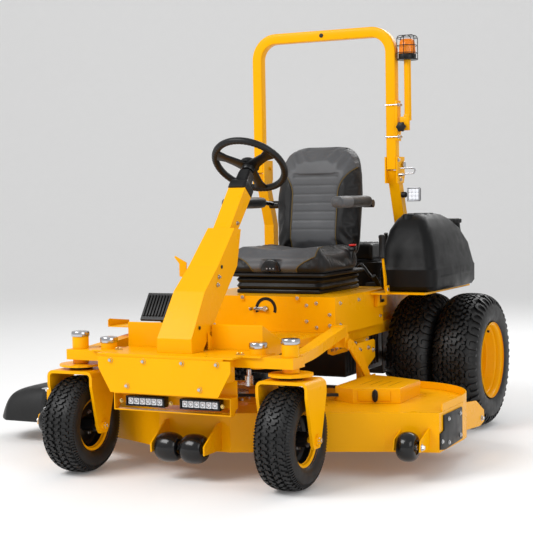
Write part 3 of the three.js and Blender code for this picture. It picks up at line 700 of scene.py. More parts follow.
def upholster(form, name, pins, cap, voxel=0.008):
    """Remeshes a block and lets cloth pressure fill it. Vertices where pins(co) is true stay put."""
    mesh = bpy.data.meshes.new(name)
    bmesh.ops.recalc_face_normals(form, faces=form.faces)
    form.to_mesh(mesh)
    form.free()
    made = bpy.data.objects.new(name, mesh)
    bpy.context.scene.collection.objects.link(made)
    remesh = made.modifiers.new("remesh", "REMESH")
    remesh.mode = "VOXEL"
    remesh.voxel_size = voxel
    relax = made.modifiers.new("relax", "SMOOTH")
    relax.iterations = 4
    apply_modifiers(made)
    before = [v.co.copy() for v in made.data.vertices]
    held = made.vertex_groups.new(name="held")
    held.add([i for i, co in enumerate(before) if pins(co)], 1.0, "REPLACE")
    cloth = made.modifiers.new("cloth", "CLOTH")
    cloth.settings.use_pressure = True
    cloth.settings.uniform_pressure_force = PRESSURE
    cloth.settings.effector_weights.gravity = 0
    cloth.settings.tension_stiffness = cloth.settings.compression_stiffness = 25
    cloth.settings.bending_stiffness = 4
    cloth.settings.vertex_group_mass = "held"
    cloth.point_cache.frame_end = CLOTH_FRAMES
    scene = bpy.context.scene
    for step in range(1, CLOTH_FRAMES + 1):
        scene.frame_set(step)
    apply_modifiers(made)
    limit_movement(made.data, before, cap)
    scene.frame_set(1)
    finer = made.modifiers.new("finer", "SUBSURF")
    finer.levels = finer.render_levels = 1
    apply_modifiers(made)
    made.data.shade_smooth()
    print(name, len(made.data.polygons), "faces")
    return made


def groove(mesh, amount):
    """Moves each vertex by the vector that amount(co) gives."""
    for vertex in mesh.vertices:
        vertex.co += Vector(amount(vertex.co))


def seam(value, centre, width):
    return math.exp(-((value - centre) / width) ** 2)


def surface_line(made, points, direction, lift=0.0):
    """Drops points along a direction onto a mesh and returns where they land."""
    tree = BVHTree.FromObject(made, bpy.context.evaluated_depsgraph_get())
    landed = []
    for point in points:
        hit = tree.ray_cast(Vector(point), Vector(direction))[0]
        if hit is not None:
            landed.append(hit - Vector(direction) * lift)
    return landed


# %% [markdown]
# Both cushions wear two colours: grey where the driver touches them and black bolsters. One finish
# does it, with a mask from the place on the cushion, and a fine pebble grain for the vinyl.


# %% Two-tone vinyl
def combined(tree, operation, first, second):
    made = tree.nodes.new("ShaderNodeMath")
    made.operation = operation
    for socket, value in zip(made.inputs, (first, second)):
        if isinstance(value, (int, float)):
            socket.default_value = value
        else:
            tree.links.new(value, socket)
    return made.outputs["Value"]


def shifted_place(tree, origin):
    """The piece's own place measured from a point, as three sockets."""
    shift = tree.nodes.new("ShaderNodeVectorMath")
    shift.operation = "SUBTRACT"
    shift.inputs[1].default_value = origin
    tree.links.new(own_place(tree), shift.inputs[0])
    split = tree.nodes.new("ShaderNodeSeparateXYZ")
    tree.links.new(shift.outputs["Vector"], split.inputs["Vector"])
    return [split.outputs[k] for k in "XYZ"]


def stitched_rows(tree, colour, place, lowest, highest, pitch, half_width):
    """Darkens two thin lines of thread at every step up the panel."""
    x, y, z = place
    step = combined(tree, "FRACT", combined(tree, "DIVIDE", combined(tree, "SUBTRACT", z, lowest), pitch), 0)
    beside = combined(tree, "ABSOLUTE", combined(tree, "SUBTRACT", step, 0.5), 0)
    thread = combined(tree, "LESS_THAN",
                      combined(tree, "ABSOLUTE", combined(tree, "SUBTRACT", beside, 0.055), 0), 0.022)
    thread = combined(tree, "MULTIPLY", thread,
                      combined(tree, "LESS_THAN", combined(tree, "ABSOLUTE", x, 0), half_width))
    thread = combined(tree, "MULTIPLY", thread, combined(tree, "GREATER_THAN", z, lowest))
    thread = combined(tree, "MULTIPLY", thread, combined(tree, "LESS_THAN", z, highest))
    mix = tree.nodes.new("ShaderNodeMix")
    mix.data_type = "RGBA"
    mix.inputs[7].default_value = (0.02, 0.02, 0.021, 1)
    tree.links.new(combined(tree, "MULTIPLY", thread, 0.75), mix.inputs[0])
    tree.links.new(colour, mix.inputs[6])
    return mix.outputs[2]


def two_tone(name, origin, mask_of, main=(0.075, 0.077, 0.082), edge=(0.0035, 0.0035, 0.004), rows=None):
    material, tree, shader = new_finish(name, 0.52, coat=0.05, sheen=0.06)
    cloud = noise(tree, 7.0)
    grey = ramp(tree, cloud, [(0.3, shade(main, 0.9)), (0.7, shade(main, 1.1))])
    black = ramp(tree, cloud, [(0.3, shade(edge, 0.85)), (0.7, shade(edge, 1.2))])
    mix = tree.nodes.new("ShaderNodeMix")
    mix.data_type = "RGBA"
    tree.links.new(mask_of(tree, *shifted_place(tree, origin)), mix.inputs[0])
    tree.links.new(black, mix.inputs[6])
    tree.links.new(grey, mix.inputs[7])
    colour = mix.outputs[2]
    if rows:
        colour = stitched_rows(tree, colour, shifted_place(tree, origin), *rows)
    tree.links.new(colour, shader.inputs["Base Color"])
    pebble = node(tree, "ShaderNodeTexVoronoi", Scale=700.0)
    tree.links.new(own_place(tree), pebble.inputs["Vector"])
    bumpy(tree, shader, pebble.outputs["Distance"], 0.35, 0.0005)
    rough_patches(tree, shader, 0.44, 0.6, 12)
    return material


# %% [markdown]
# The seat cushion is a shallow dish between two side bolsters, deeper at the back. The front edge is
# cut away in the middle for the suspension knob.

# %% Seat cushion
KNOB = Vector((-0.015, -0.246, 0.745))


def panel_edge(y, z):
    """Half the width of the grey panel: narrow at the foot of the front, wide over the top, narrower behind."""
    rise = min(1.0, max(0.0, (z - 0.745) / 0.065)) ** 2
    return 0.105 + rise * (0.085 - 0.22 * max(0.0, y + 0.2))


form = block((-0.236, -0.248, 0.7365), (0.236, 0.150, 0.832), 0.034, 5)
bmesh.ops.bisect_plane(form, geom=form.verts[:] + form.edges[:] + form.faces[:], plane_co=(0, 0, 0.79),
                       plane_no=(0, 0, 1))
bmesh.ops.subdivide_edges(form, edges=[e for e in form.edges if e.calc_length() > 0.12], cuts=11,
                          use_grid_fill=True)
moved(form)
cushion = upholster(form, "seat_cushion_cover", lambda co: co.z < 0.75, 0.014)


def cushion_shape(co):
    x, y, z = co - ORIGIN
    up = max(0.0, (z - 0.775) / 0.06)
    side = abs(x) / 0.236
    dish = -0.017 * max(0.0, 1 - (x / 0.13) ** 2) * max(0.0, 1 - ((y + 0.03) / 0.21) ** 2)
    bolster = 0.006 * math.exp(-((side - 0.80) / 0.16) ** 2)
    line = -0.005 * seam(abs(x), panel_edge(y, z), 0.0035) - 0.003 * seam(y, -0.052,
            0.0035) * (abs(x) < panel_edge(y, z))
    front = -0.012 * max(0.0, (-0.19 - y) / 0.06) * up
    return 0, 0, (dish + bolster + line) * min(1.0, up) + front


def knob_recess(co):
    x, y, z = co - ORIGIN
    if y > -0.2 or abs(x - KNOB.x) > 0.07:
        return 0, 0, 0
    inside = max(0.0, 1 - ((x - KNOB.x) / 0.052) ** 4) * max(0.0, 1 - ((z - KNOB.z - 0.02) / 0.034) ** 4)
    return 0, 0.012 * inside, 0


groove(cushion.data, cushion_shape)
groove(cushion.data, knob_recess)


def cushion_mask(tree, x, y, z):
    rise = combined(tree, "DIVIDE", combined(tree, "SUBTRACT", z, 0.745), 0.065)
    rise = combined(tree, "POWER", combined(tree, "MINIMUM", combined(tree, "MAXIMUM", rise, 0.0), 1.0), 2.0)
    behind = combined(tree, "MULTIPLY", combined(tree, "MAXIMUM", combined(tree, "ADD", y, 0.2), 0.0), 0.22)
    edge = combined(tree, "MULTIPLY", rise, combined(tree, "SUBTRACT", 0.085, behind))
    return combined(tree, "LESS_THAN", combined(tree, "ABSOLUTE", x, 0), combined(tree, "ADD", edge, 0.105))


cushion.data.materials.clear()
cushion.data.materials.append(two_tone("cushion_vinyl", ORIGIN, cushion_mask))
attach(cushion, "seat")
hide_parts("seat_cushion")

form = bmesh.new()
for side in (-1, 1):
    top_line = [at(side * panel_edge(y, 0.83), y, 0.95) for y in (-0.228 + 0.36 * i / 40 for i in range(41))]
    front_line = [at(side * panel_edge(-0.25, z), -0.4,
                     z) for z in (0.746 + 0.07 * i / 12 for i in range(13))]
    landed = surface_line(cushion, front_line, (0, 1, 0), 0.001) + surface_line(cushion, top_line,
                                                                                (0, 0, -1), 0.001)
    merge(form, swept(landed, 0.0026, 10))
piece("cushion_piping", form, PIPING, "seat", degrees=60)
half_round = [(0.045 * math.cos(a),
               0.008 + 0.045 * math.sin(a)) for a in (math.pi * i / 20 for i in range(21))]
form = slab([(0.045, 0.0)] + half_round + [(-0.045, 0.0)], "Y", -0.006, 0.012, 0.004)
bmesh.ops.translate(form, vec=KNOB, verts=form.verts)
piece("weight_knob", moved(form), GLOSS_BLACK, "seat")
form = bmesh.new()
for step in (-0.016, 0.0, 0.016):
    merge(form, lathe([(0, -0.0015), (0.0032, -0.0012), (0.0034, 0.0), (0, 0.0)], 16, "Y",
                      at(KNOB.x + step, KNOB.y - 0.0062, KNOB.z + 0.014)))
piece("weight_knob_marks", form, SILVER_PAINT, "seat")
print("seat cushion")

# %% [markdown]
# The backrest is a full-width head above a narrower centre panel with black bolsters at its sides.
# Double rows of stitching cross the panel, and tan piping runs down both of its edges.

# %% Seat back
back_outline = [(-0.190, 0.795), (-0.202, 0.86), (-0.209, 1.06), (-0.200, 1.16), (-0.184, 1.235),
                (-0.150, 1.280),
                (-0.110, 1.293), (0.110, 1.293), (0.150, 1.280), (0.184, 1.235), (0.200, 1.16), (0.209, 1.06),
                (0.202, 0.86), (0.190, 0.795)]
STITCH_PITCH, LOWEST_STITCH = 0.040, 0.918
STITCH_HEIGHTS = [LOWEST_STITCH + STITCH_PITCH * i for i in range(7)]
PANEL_HALF = 0.113


def back_panel_edge(z):
    return PANEL_HALF + 0.085 * max(0.0, (z - 1.075) / 0.13) ** 2


def back_lean(z):
    """How far back the middle of the backrest sits at a height."""
    t = (z - 0.795) / 0.5
    return 0.222 + 0.020 * t + 0.055 * t * t


form = slab(back_outline, "Y", -0.046, 0.040, 0.022)
bmesh.ops.triangulate(form, faces=form.faces[:])
bmesh.ops.subdivide_edges(form, edges=form.edges[:], cuts=3, use_grid_fill=True)
for vertex in form.verts:
    vertex.co.y += back_lean(vertex.co.z)
moved(form)
backrest = upholster(form, "seat_back_cover", lambda co: co.y - ORIGIN.y > back_lean(co.z) + 0.012, 0.016)


def back_shape(co):
    x, y, z = co - ORIGIN
    ahead = (back_lean(z) - 0.008 - y) / 0.03
    if ahead <= 0:
        return 0, 0, 0
    ahead = min(1.0, ahead)
    dish = 0.010 * max(0.0, 1 - (x / 0.12) ** 2) * (z < 1.17)
    stitches = sum(seam(z, h, 0.006) for h in STITCH_HEIGHTS)
    panel = 0.0012 * min(1.0, stitches) * (abs(x) < PANEL_HALF - 0.004)
    edge = 0.007 * seam(abs(x), back_panel_edge(z), 0.004)
    lumbar = -0.009 * math.exp(-((z - 0.90) / 0.07) ** 2) * (1 - (x / 0.21) ** 2)
    return 0, (dish + panel + edge + lumbar) * ahead, 0


groove(backrest.data, back_shape)


def back_mask(tree, x, y, z):
    rise = combined(tree, "DIVIDE", combined(tree, "MAXIMUM", combined(tree, "SUBTRACT", z, 1.075), 0.0),
                    0.13)
    edge = combined(tree, "ADD", combined(tree, "MULTIPLY", combined(tree, "POWER", rise, 2.0), 0.085),
                    PANEL_HALF)
    inside = combined(tree, "LESS_THAN", combined(tree, "ABSOLUTE", x, 0), edge)
    ahead = combined(tree, "LESS_THAN", combined(tree, "SUBTRACT", y, combined(tree, "MULTIPLY", z, 0.16)),
                     0.085)
    return combined(tree, "MULTIPLY", inside, ahead)


backrest.data.materials.clear()
backrest.data.materials.append(two_tone("backrest_vinyl", ORIGIN, back_mask, rows=(
    LOWEST_STITCH - STITCH_PITCH / 2, STITCH_HEIGHTS[-1] + STITCH_PITCH / 2, STITCH_PITCH, PANEL_HALF)))
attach(backrest, "seat_back")
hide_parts("seat_back")

form = bmesh.new()
for side in (-1, 1):
    line = [at(side * back_panel_edge(z), -0.2, z) for z in (0.815 + 0.387 * i / 60 for i in range(61))]
    merge(form, swept(surface_line(backrest, line, (0, 1, 0), 0.001), 0.0024, 10))
piece("backrest_piping", form, PIPING, "seat_back", degrees=60)
shell = slab([(x * 0.93, 0.80 + (z - 0.795) * 0.93) for x, z in back_outline], "Y", 0.030, 0.052, 0.008)
for vertex in shell.verts:
    vertex.co.y += back_lean(vertex.co.z)
piece("backrest_shell", moved(shell), PLASTIC, "seat_back")
print("backrest")

# %% [markdown]
# Armrests are foam over a steel arm: a grey pad in front and a black sleeve behind it, on a pivot at
# the side of the backrest.

# %% Armrests
for side, sign in SIDES:
    pivot_y = 0.262
    form = block((0.236, -0.180, 1.016), (0.294, 0.186, 1.066), 0.020, 4)
    bmesh.ops.subdivide_edges(form, edges=[e for e in form.edges if e.calc_length() > 0.1], cuts=14)
    for vertex in form.verts:
        vertex.co.x *= sign
    pad = upholster(moved(form), f"armrest_pad_{side}", lambda co: False, 0.003, 0.006)

    def pad_mask(tree, x, y, z):
        return combined(tree, "LESS_THAN", y, -0.045)

    pad.data.materials.clear()
    pad.data.materials.append(two_tone(f"armrest_vinyl_{side}", ORIGIN, pad_mask))
    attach(pad, "armrest_" + side)
    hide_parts("armrest_" + side)
    arm = swept([at(sign * x, y, z) for x, y,
                 z in ((0.262, 0.12, 1.040), (0.258, 0.20, 1.040), (0.246, 0.245, 1.034),
                       (0.240, 0.262, 1.030))], 0.011, 14)
    merge(arm, bar(at(sign * 0.214, pivot_y, 1.030), at(sign * 0.262, pivot_y, 1.030), 0.018, 28))
    piece(f"armrest_arm_{side}", arm, BLACK_PAINT, "armrest_" + side)
print("armrests")

# %% [markdown]
# ## Round the driver
# Under the cushion sit a moulded pan and a rubber bellows that hides the suspension. The column wears a boot,
# the levers their grips.

# %% Seat pan and bellows
def rounded_ring(half_x, low_y, high_y, z, corner=0.03, steps=6):
    points = []
    for cx, cy, start in ((half_x, high_y, 0), (-half_x, high_y, 90), (-half_x, low_y, 180),
                          (half_x, low_y, 270)):
        for i in range(steps + 1):
            a = math.radians(start + 90 * i / steps)
            inner = (cx - math.copysign(corner, cx), cy - corner if cy == high_y else cy + corner)
            points.append((inner[0] + corner * math.cos(a), inner[1] + corner * math.sin(a), z))
    return points


def stacked(rings):
    """A skin over rings of equal count, capped at both ends."""
    form = bmesh.new()
    made = [[form.verts.new(p) for p in ring] for ring in rings]
    for first, second in zip(made, made[1:]):
        for i in range(len(first)):
            j = (i + 1) % len(first)
            form.faces.new((first[i], first[j], second[j], second[i]))
    form.faces.new(made[0])
    form.faces.new(made[-1])
    return form


pan = stacked([rounded_ring(h, y0, y1, z) for h, y0, y1, z in (
    (0.215, -0.222, 0.236, 0.7202), (0.226, -0.232, 0.246, 0.7225), (0.229, -0.235, 0.249, 0.7275),
    (0.228, -0.234, 0.249, 0.7355), (0.216, -0.226, 0.240, 0.7385))])
for sign in (-1, 1):
    merge(pan, block((sign * 0.142, 0.240, 0.724), (sign * 0.168, 0.258, 0.785), 0.004))
piece("seat_pan", moved(pan), PLASTIC, "seat", ["seat_frame"])

BELLOWS_FOOT, BELLOWS_TOP, FOLDS = 0.6665, 0.7195, 2
rings = []
for i in range(FOLDS * 4 + 1):
    swell = 0.5 - 0.5 * math.cos(2 * math.pi * i / 4)
    z = BELLOWS_FOOT + (BELLOWS_TOP - BELLOWS_FOOT) * i / (FOLDS * 4)
    rings.append(rounded_ring(0.200 + 0.008 * swell, -0.210 - 0.008 * swell, 0.222 + 0.008 * swell, z))
bellows = piece("seat_bellows", moved(stacked(rings)), PLASTIC, "chassis", degrees=60)
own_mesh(bellows)
form = block(at(-0.199, -0.214, 0.6488), at(0.199, 0.234, 0.6658), 0.005)
piece("seat_base_plate", form, BLACK_PAINT, "chassis", ["seat_base"])
form = block((0.208, 0.055, 0.755), (0.232, 0.085, 0.822), 0.005)
merge(form, block((0.206, 0.052, 0.822), (0.234, 0.088, 0.842), 0.006))
for vertex in form.verts:
    vertex.co.y += (vertex.co.z - 0.75) * 0.4
    if vertex.co.z > 0.818:
        vertex.co.x += 0.004
piece("belt_buckle", moved(form), [PLASTIC], "seat")
form = block((0.211, 0.084, 0.843), (0.237, 0.116, 0.851), 0.003)
piece("belt_buckle_button", moved(form), RED, "seat")

# %% Column boot
form = stacked([rounded_ring(h, -h, h, z, corner=0.012) for h, z in (
    (0.036, -0.150), (0.041, -0.147), (0.041, -0.118), (0.037, -0.110), (0.029, -0.100), (0.0275, -0.060),
                                                                     (0.0255, -0.044))])
merge(form, lathe([(0, -0.05), (0.015, -0.05), (0.015, -0.0345), (0, -0.0345)], 32))
bmesh.ops.transform(form, matrix=TILT, verts=form.verts)
piece("column_boot", form, PLASTIC, "chassis", ["steering_column"], degrees=40)

# %% Brake lever
form = slab([(0.036, 0.650), (0.060, 0.650), (0.056, 0.700), (0.024, 0.800), (0.010, 0.800), (0.032, 0.700)],
            "X", 0.3962, 0.4028, 0.0015)
piece("brake_lever_bar", moved(form), PAINT, "brake_lever", ["brake_lever"])
grip = lathe([(0, 0.0), (0.0125, 0.0), (0.0148, 0.003), (0.0148, 0.008), (0.0132, 0.011), (0.0132, 0.086),
              (0.0148, 0.092), (0.0140, 0.099), (0.008, 0.1025), (0, 0.103)], 40)
for vertex in grip.verts:
    spin = math.atan2(vertex.co.y, vertex.co.x)
    if 0.010 < vertex.co.z < 0.09:
        vertex.co.xy *= 1 + 0.05 * math.cos(10 * spin)
bmesh.ops.transform(grip, matrix=along(Vector((0, -0.006, 0.1)), at(0.3995, 0.0150, 0.793)), verts=grip.verts)
piece("brake_lever_grip", grip, PLASTIC, "brake_lever")
bolts("brake_lever_pivot", [(0.4035, 0.048, 0.655)], (1, 0, 0), "brake_lever", 0.018, 0.007)

# %% [markdown]
# ## Height dial and pedestal front
# The cutting height is set by a flat lever that sweeps an arc slot, drawn as a thin black sheet on the panel as
# painted shade for the opening. Rows of bolts hold the folded panels together.

# %% Height dial
PANEL_FACE = -0.350
arc = [(0.011 + r * math.cos(a), 0.594 + r * math.sin(a))
       for r, angles in ((0.050, range(-20, 201, 10)), (0.037, range(200, -21, -10)))
       for a in map(math.radians, angles)]
# painted shade: a thin black sheet on the panel face stands in for the dark opening of the slot
form = slab(arc, "Y", PANEL_FACE - 0.0016, PANEL_FACE + 0.001, 0)
piece("height_slot_painted_shade", moved(form), BLACK_PAINT, "chassis")
lever = slab([(-0.053, -0.006), (-0.053, 0.006), (0.0, 0.0085), (0.006, 0.006), (0.006, -0.006),
              (0.0, -0.0085)],
             "Y", PANEL_FACE - 0.0115, PANEL_FACE - 0.0065, 0.0012)
for vertex in lever.verts:
    vertex.co.x += 0.011
    vertex.co.z += 0.594
merge(lever, block((-0.0535, PANEL_FACE - 0.034, 0.587), (-0.047, PANEL_FACE - 0.006, 0.601), 0.002))
merge(lever, lathe([(0, -0.014), (0.009, -0.014), (0.0115, -0.012), (0.0125, -0.004), (0.0125, -0.0008),
                    (0, -0.0008)],
                   36, "Y", (0.011, PANEL_FACE, 0.594)))
piece("height_lever_plate", moved(lever), CHROME, "height_lever", ["height_lever"])
places = [(x, PANEL_FACE, z) for x, z in ((0.200, 0.612), (0.245, 0.622), (0.200, 0.545), (0.245, 0.520),
                                          (-0.240, 0.622), (-0.240, 0.520), (0.305, 0.575), (0.305, 0.530))]
places += [(-0.098, PANEL_FACE - 0.006, 0.642), (0.160, PANEL_FACE - 0.006, 0.642)]
bolts("seat_panel_bolts", places, (0, -1, 0), "chassis", 0.011, 0.006)
PEDESTAL_BOLTS = ((-0.30, 0.53), (-0.30, 0.62), (-0.10, 0.62), (0.10, 0.62), (0.15, 0.53))
for name, sign in (("pedestal_side_bolts", -1), ("pedestal_left_bolts", 1)):
    bolts(name, [(sign * 0.331, y, z) for y, z in PEDESTAL_BOLTS], (sign, 0, 0), "chassis", 0.012, 0.006)
print("dial and bolts")

# %% [markdown]
# ## Foot controls
# The pedal is a bent plate with a ribbed rubber pad, and the floor has raised dimples for grip.

# %% Foot controls
low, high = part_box("foot_pedal")
form = bmesh.new()
for i in range(8):
    merge(form, block((-0.366 + 0.0145 * i, -0.050, 0.0), (-0.3575 + 0.0145 * i, 0.050, 0.004), 0.0012))
bmesh.ops.transform(form, matrix=along(Vector((0, -0.822, 0.569)), (0, -0.7065, 0.6305)), verts=form.verts)
piece("pedal_ribs", moved(form), TYRE, "foot_pedal")
form = bmesh.new()
for row in range(11):
    for column in range(14):
        x, y = -0.25 + 0.038 * column + 0.019 * (row % 2), -0.720 + 0.027 * row
        if abs(x) < 0.085 and y < -0.5:
            continue
        merge(form, lathe([(0.0075, 0.0), (0.006, 0.0018), (0.0, 0.0026)], 12, "Z", (x, y, 0.4998)))
bmesh.ops.translate(form, vec=ORIGIN, verts=form.verts)
piece("floor_dimples", form, PAINT, "chassis")
form = slab([(-0.492, -0.800), (-0.470, -0.640), (-0.2965, -0.560), (-0.2965, -0.622), (-0.382, -0.622),
             (-0.382, -0.800)], "Z", 0.5460, 0.5500, 0.001)
merge(form, slab([(-0.800, 0.546), (-0.800, 0.574), (-0.790, 0.580), (-0.640, 0.562), (-0.640, 0.546)], "X",
                 -0.4920, -0.4885, 0.001))
merge(form, block((-0.300, -0.620, 0.500), (-0.2965, -0.562, 0.548), 0.001))
piece("foot_wing", moved(form), PAINT, "chassis")
form = slab([(-0.262, 0.499), (-0.262, 0.745), (-0.256, 0.750), (-0.252, 0.745), (-0.252, 0.499)], "Y",
            -0.563, -0.557, 0.001)
merge(form, slab([(-0.252, 0.735), (-0.250, 0.800), (-0.305, 0.828), (-0.308, 0.822), (-0.285, 0.795),
                  (-0.285, 0.742)], "Y",
                 -0.565, -0.560, 0.001))
piece("hand_guard", moved(form), PAINT, "chassis")
print("pedal at", [round(v, 3) for v in low - ORIGIN], [round(v, 3) for v in high - ORIGIN])

# %% [markdown]
# ## Tank
# A rotationally moulded tank has generous corners and a skin like orange peel. Its neck stands at
# the back under a ribbed cap.

# %% Fuel tank
def tank_ring(low_x, high_x, low_y, high_y, z, corner=0.045, steps=4):
    points = []
    for cx, cy, start in ((high_x, high_y, 0), (low_x, high_y, 90), (low_x, low_y, 180),
                          (high_x, low_y, 270)):
        inner = (cx - corner if cx == high_x else cx + corner, cy - corner if cy == high_y else cy + corner)
        for i in range(steps + 1):
            a = math.radians(start + 90 * i / steps)
            points.append((inner[0] + corner * math.cos(a), inner[1] + corner * math.sin(a), z))
    return points


form = stacked([tank_ring(*extent) for extent in (
    (0.375, 0.585, 0.125, 0.640, 0.6415), (0.352, 0.604, 0.098, 0.672, 0.648),
                                                  (0.345, 0.6115, 0.088, 0.688, 0.664),
    (0.345, 0.6115, 0.086, 0.690, 0.738), (0.349, 0.608, 0.090, 0.687, 0.746),
                                                  (0.350, 0.606, 0.092, 0.685, 0.752),
    (0.358, 0.590, 0.112, 0.660, 0.840), (0.372, 0.566, 0.142, 0.600, 0.910),
                                                  (0.392, 0.545, 0.170, 0.520, 0.952),
    (0.410, 0.525, 0.195, 0.460, 0.974), (0.430, 0.505, 0.225, 0.420, 0.981))])
for vertex in form.verts:
    if vertex.co.y > 0.262:
        vertex.co.x = max(vertex.co.x, 0.368)
merge(form, lathe([(0, 0.80), (0.047, 0.80), (0.041, 0.880), (0.036, 0.905), (0.034, 0.930), (0, 0.930)],
                  48, "Z", (0.520, 0.610, 0)))
merge(form, lathe([(0, 0.95), (0.030, 0.95), (0.027, 0.975), (0.024, 0.9795), (0.017, 0.982), (0, 0.9825)],
                  40, "Z", (0.450, 0.205, 0)))
for y in (0.250, 0.330):
    merge(form, block((0.425, y, 0.972), (0.515, y + 0.03, 0.9835), 0.005))
merge(form, block((0.6055, 0.170, 0.700), (0.6125, 0.600, 0.712), 0.002))
piece("fuel_tank_moulding", moved(form), TANK_PLASTIC, "chassis", ["fuel_tank"], degrees=28)
form = lathe([(0, 0.9304), (0.036, 0.9304), (0.0405, 0.932), (0.0415, 0.946), (0.039, 0.950),
              (0.020, 0.952), (0, 0.952)], 96)
for vertex in form.verts:
    if vertex.co.xy.length > 0.03 and vertex.co.z < 0.948:
        spin = math.atan2(vertex.co.y, vertex.co.x)
        vertex.co.xy *= 1 + 0.022 * math.cos(24 * spin)
merge(form, block((-0.030, -0.004, 0.951), (0.030, 0.004, 0.9525), 0.0005))
bmesh.ops.translate(form, vec=at(0.520, 0.610, 0), verts=form.verts)
piece("fuel_cap_moulding", form, PLASTIC, "fuel_cap", ["fuel_cap"], degrees=40)

# %% [markdown]
# ## Rollers and small wheels
# The deck rides over bumps on fat round-shouldered plastic rollers, each on a plated bolt.


# %% Rollers
def roller(name, place, radius, half, body, replaced=(), bore=0.011):
    profile = [(bore, -half * 0.8), (radius * 0.42, -half * 0.86)]
    for i in range(-8, 9):
        a = math.radians(90 * i / 8)
        profile.append((radius * (0.5 + 0.5 * math.cos(a) ** 0.75), half * math.sin(a)))
    profile += [(radius * 0.42, half * 0.86), (bore, half * 0.8)]
    form = lathe(profile, 64, "X", at(*place), closed=True)
    return piece(name, form, GLOSS_BLACK, body, replaced)


roller("front_roller_left", (0.055, -1.060, 0.125), 0.057, 0.048, "front_rollers", ["front_rollers"])
roller("front_roller_right", (-0.055, -1.060, 0.125), 0.057, 0.048, "front_rollers")
form = bar(at(-0.111, -1.060, 0.125), at(0.111, -1.060, 0.125), 0.0105)
piece("front_roller_axle", form, STEEL, "front_rollers")
for side, sign in SIDES:
    roller("side_roller_turned_" + side, (sign * 0.805, -0.782, 0.135), 0.056, 0.036, "side_roller_" + side,
           ["side_roller_" + side])
    roller("rear_wheel_turned_" + side, (sign * 0.827, -0.078, 0.135), 0.050, 0.025,
           "rear_wheel_small_" + side,
           ["rear_wheel_small_" + side])
    form = bar(at(sign * 0.767, -0.782, 0.135), at(sign * 0.843, -0.782, 0.135), 0.0100)
    merge(form, bar(at(sign * 0.800, -0.078, 0.135), at(sign * 0.854, -0.078, 0.135), 0.0100))
    piece(f"roller_axles_{side}", form, STEEL, "deck")
    bolts(f"corner_roller_bolt_{side}", [(sign * 0.860, -0.782, 0.135)], (sign, 0, 0), "deck", 0.019, 0.009)
    bolts(f"rear_wheel_bolt_{side}", [(sign * 0.869, -0.078, 0.135)], (sign, 0, 0), "deck", 0.017, 0.008)
print("rollers")

# %% [markdown]
# ## Front end
# Steel caps close the king-pin barrels and the posts beside them. The bumper plate is bolted on, and
# two lamp bars, six square lenses each, sit back in a folded bracket under it.

# %% Barrels and caps
form = bmesh.new()
caps = bmesh.new()
for side, sign in SIDES:
    merge(form, lathe([(0.0322, 0.4885), (0.0322, 0.5325), (0.030, 0.5336)], 48, "Z",
                      at(sign * 0.457, -1.050, 0)))
    merge(form, lathe([(0.0312, 0.4905), (0.0312, 0.5155), (0.029, 0.5160)], 48, "Z",
                      at(sign * 0.325, -1.049, 0)))
    merge(caps, lathe([(0.026, 0.514), (0.0335, 0.5145), (0.0345, 0.5165), (0.0345, 0.532),
                       (0.0325, 0.5355), (0.022, 0.5375),
                       (0.010, 0.5378), (0, 0.5378)], 56, "Z", at(sign * 0.325, -1.049, 0)))
    cap = lathe([(0.0275, 0.5345), (0.0345, 0.5350), (0.0355, 0.5370), (0.0355, 0.5500), (0.0335, 0.5540),
                 (0.022, 0.5560),
                 (0.010, 0.5565), (0, 0.5565)], 56, "Z", at(sign * 0.457, -1.050, 0))
    piece("king_pin_cap_" + side, cap, CHROME, "fork_" + side)
piece("barrel_sleeves", form, PAINT, "chassis")
piece("post_caps", caps, CHROME, "chassis")

# %% Fork axle nuts
for side, sign in SIDES:
    x = sign * 0.457
    for way in (-1, 1):
        nut = bolt_shape(at(x + way * 0.1042, -1.056, 0.190), (way, 0, 0), 0.026, 0.012)
        merge(nut, bar(at(x + way * 0.114, -1.056, 0.190), at(x + way * 0.1235, -1.056, 0.190), 0.0075, 20))
        piece(f"axle_nut_{side}_{'out' if way > 0 else 'in'}", nut, STEEL, "fork_" + side)
    seal = lathe([(0.034, 0.4075), (0.0455, 0.4085), (0.047, 0.412), (0.047, 0.4165), (0.040, 0.4185)], 48,
                 "Z", at(x, -1.050, 0))
    piece("fork_seal_" + side, seal, TYRE, "fork_" + side)

# %% Bumper plate bolts
places = [(x, -1.192, 0.466) for x in (-0.227, -0.0825, 0.0825, 0.227)] + [(x, -1.192,
                                                                            0.372) for x in (-0.156, 0.156)]
bolts("bumper_bolts", places, (0, -1, 0), "chassis", 0.014, 0.007, CHROME)
bolts("tray_bolts", [(s * x, -1.075, 0.4912) for s in (-1, 1) for x in (0.255, 0.272)], (0, 0, 1),
      "chassis", 0.012, 0.006, BRASS)

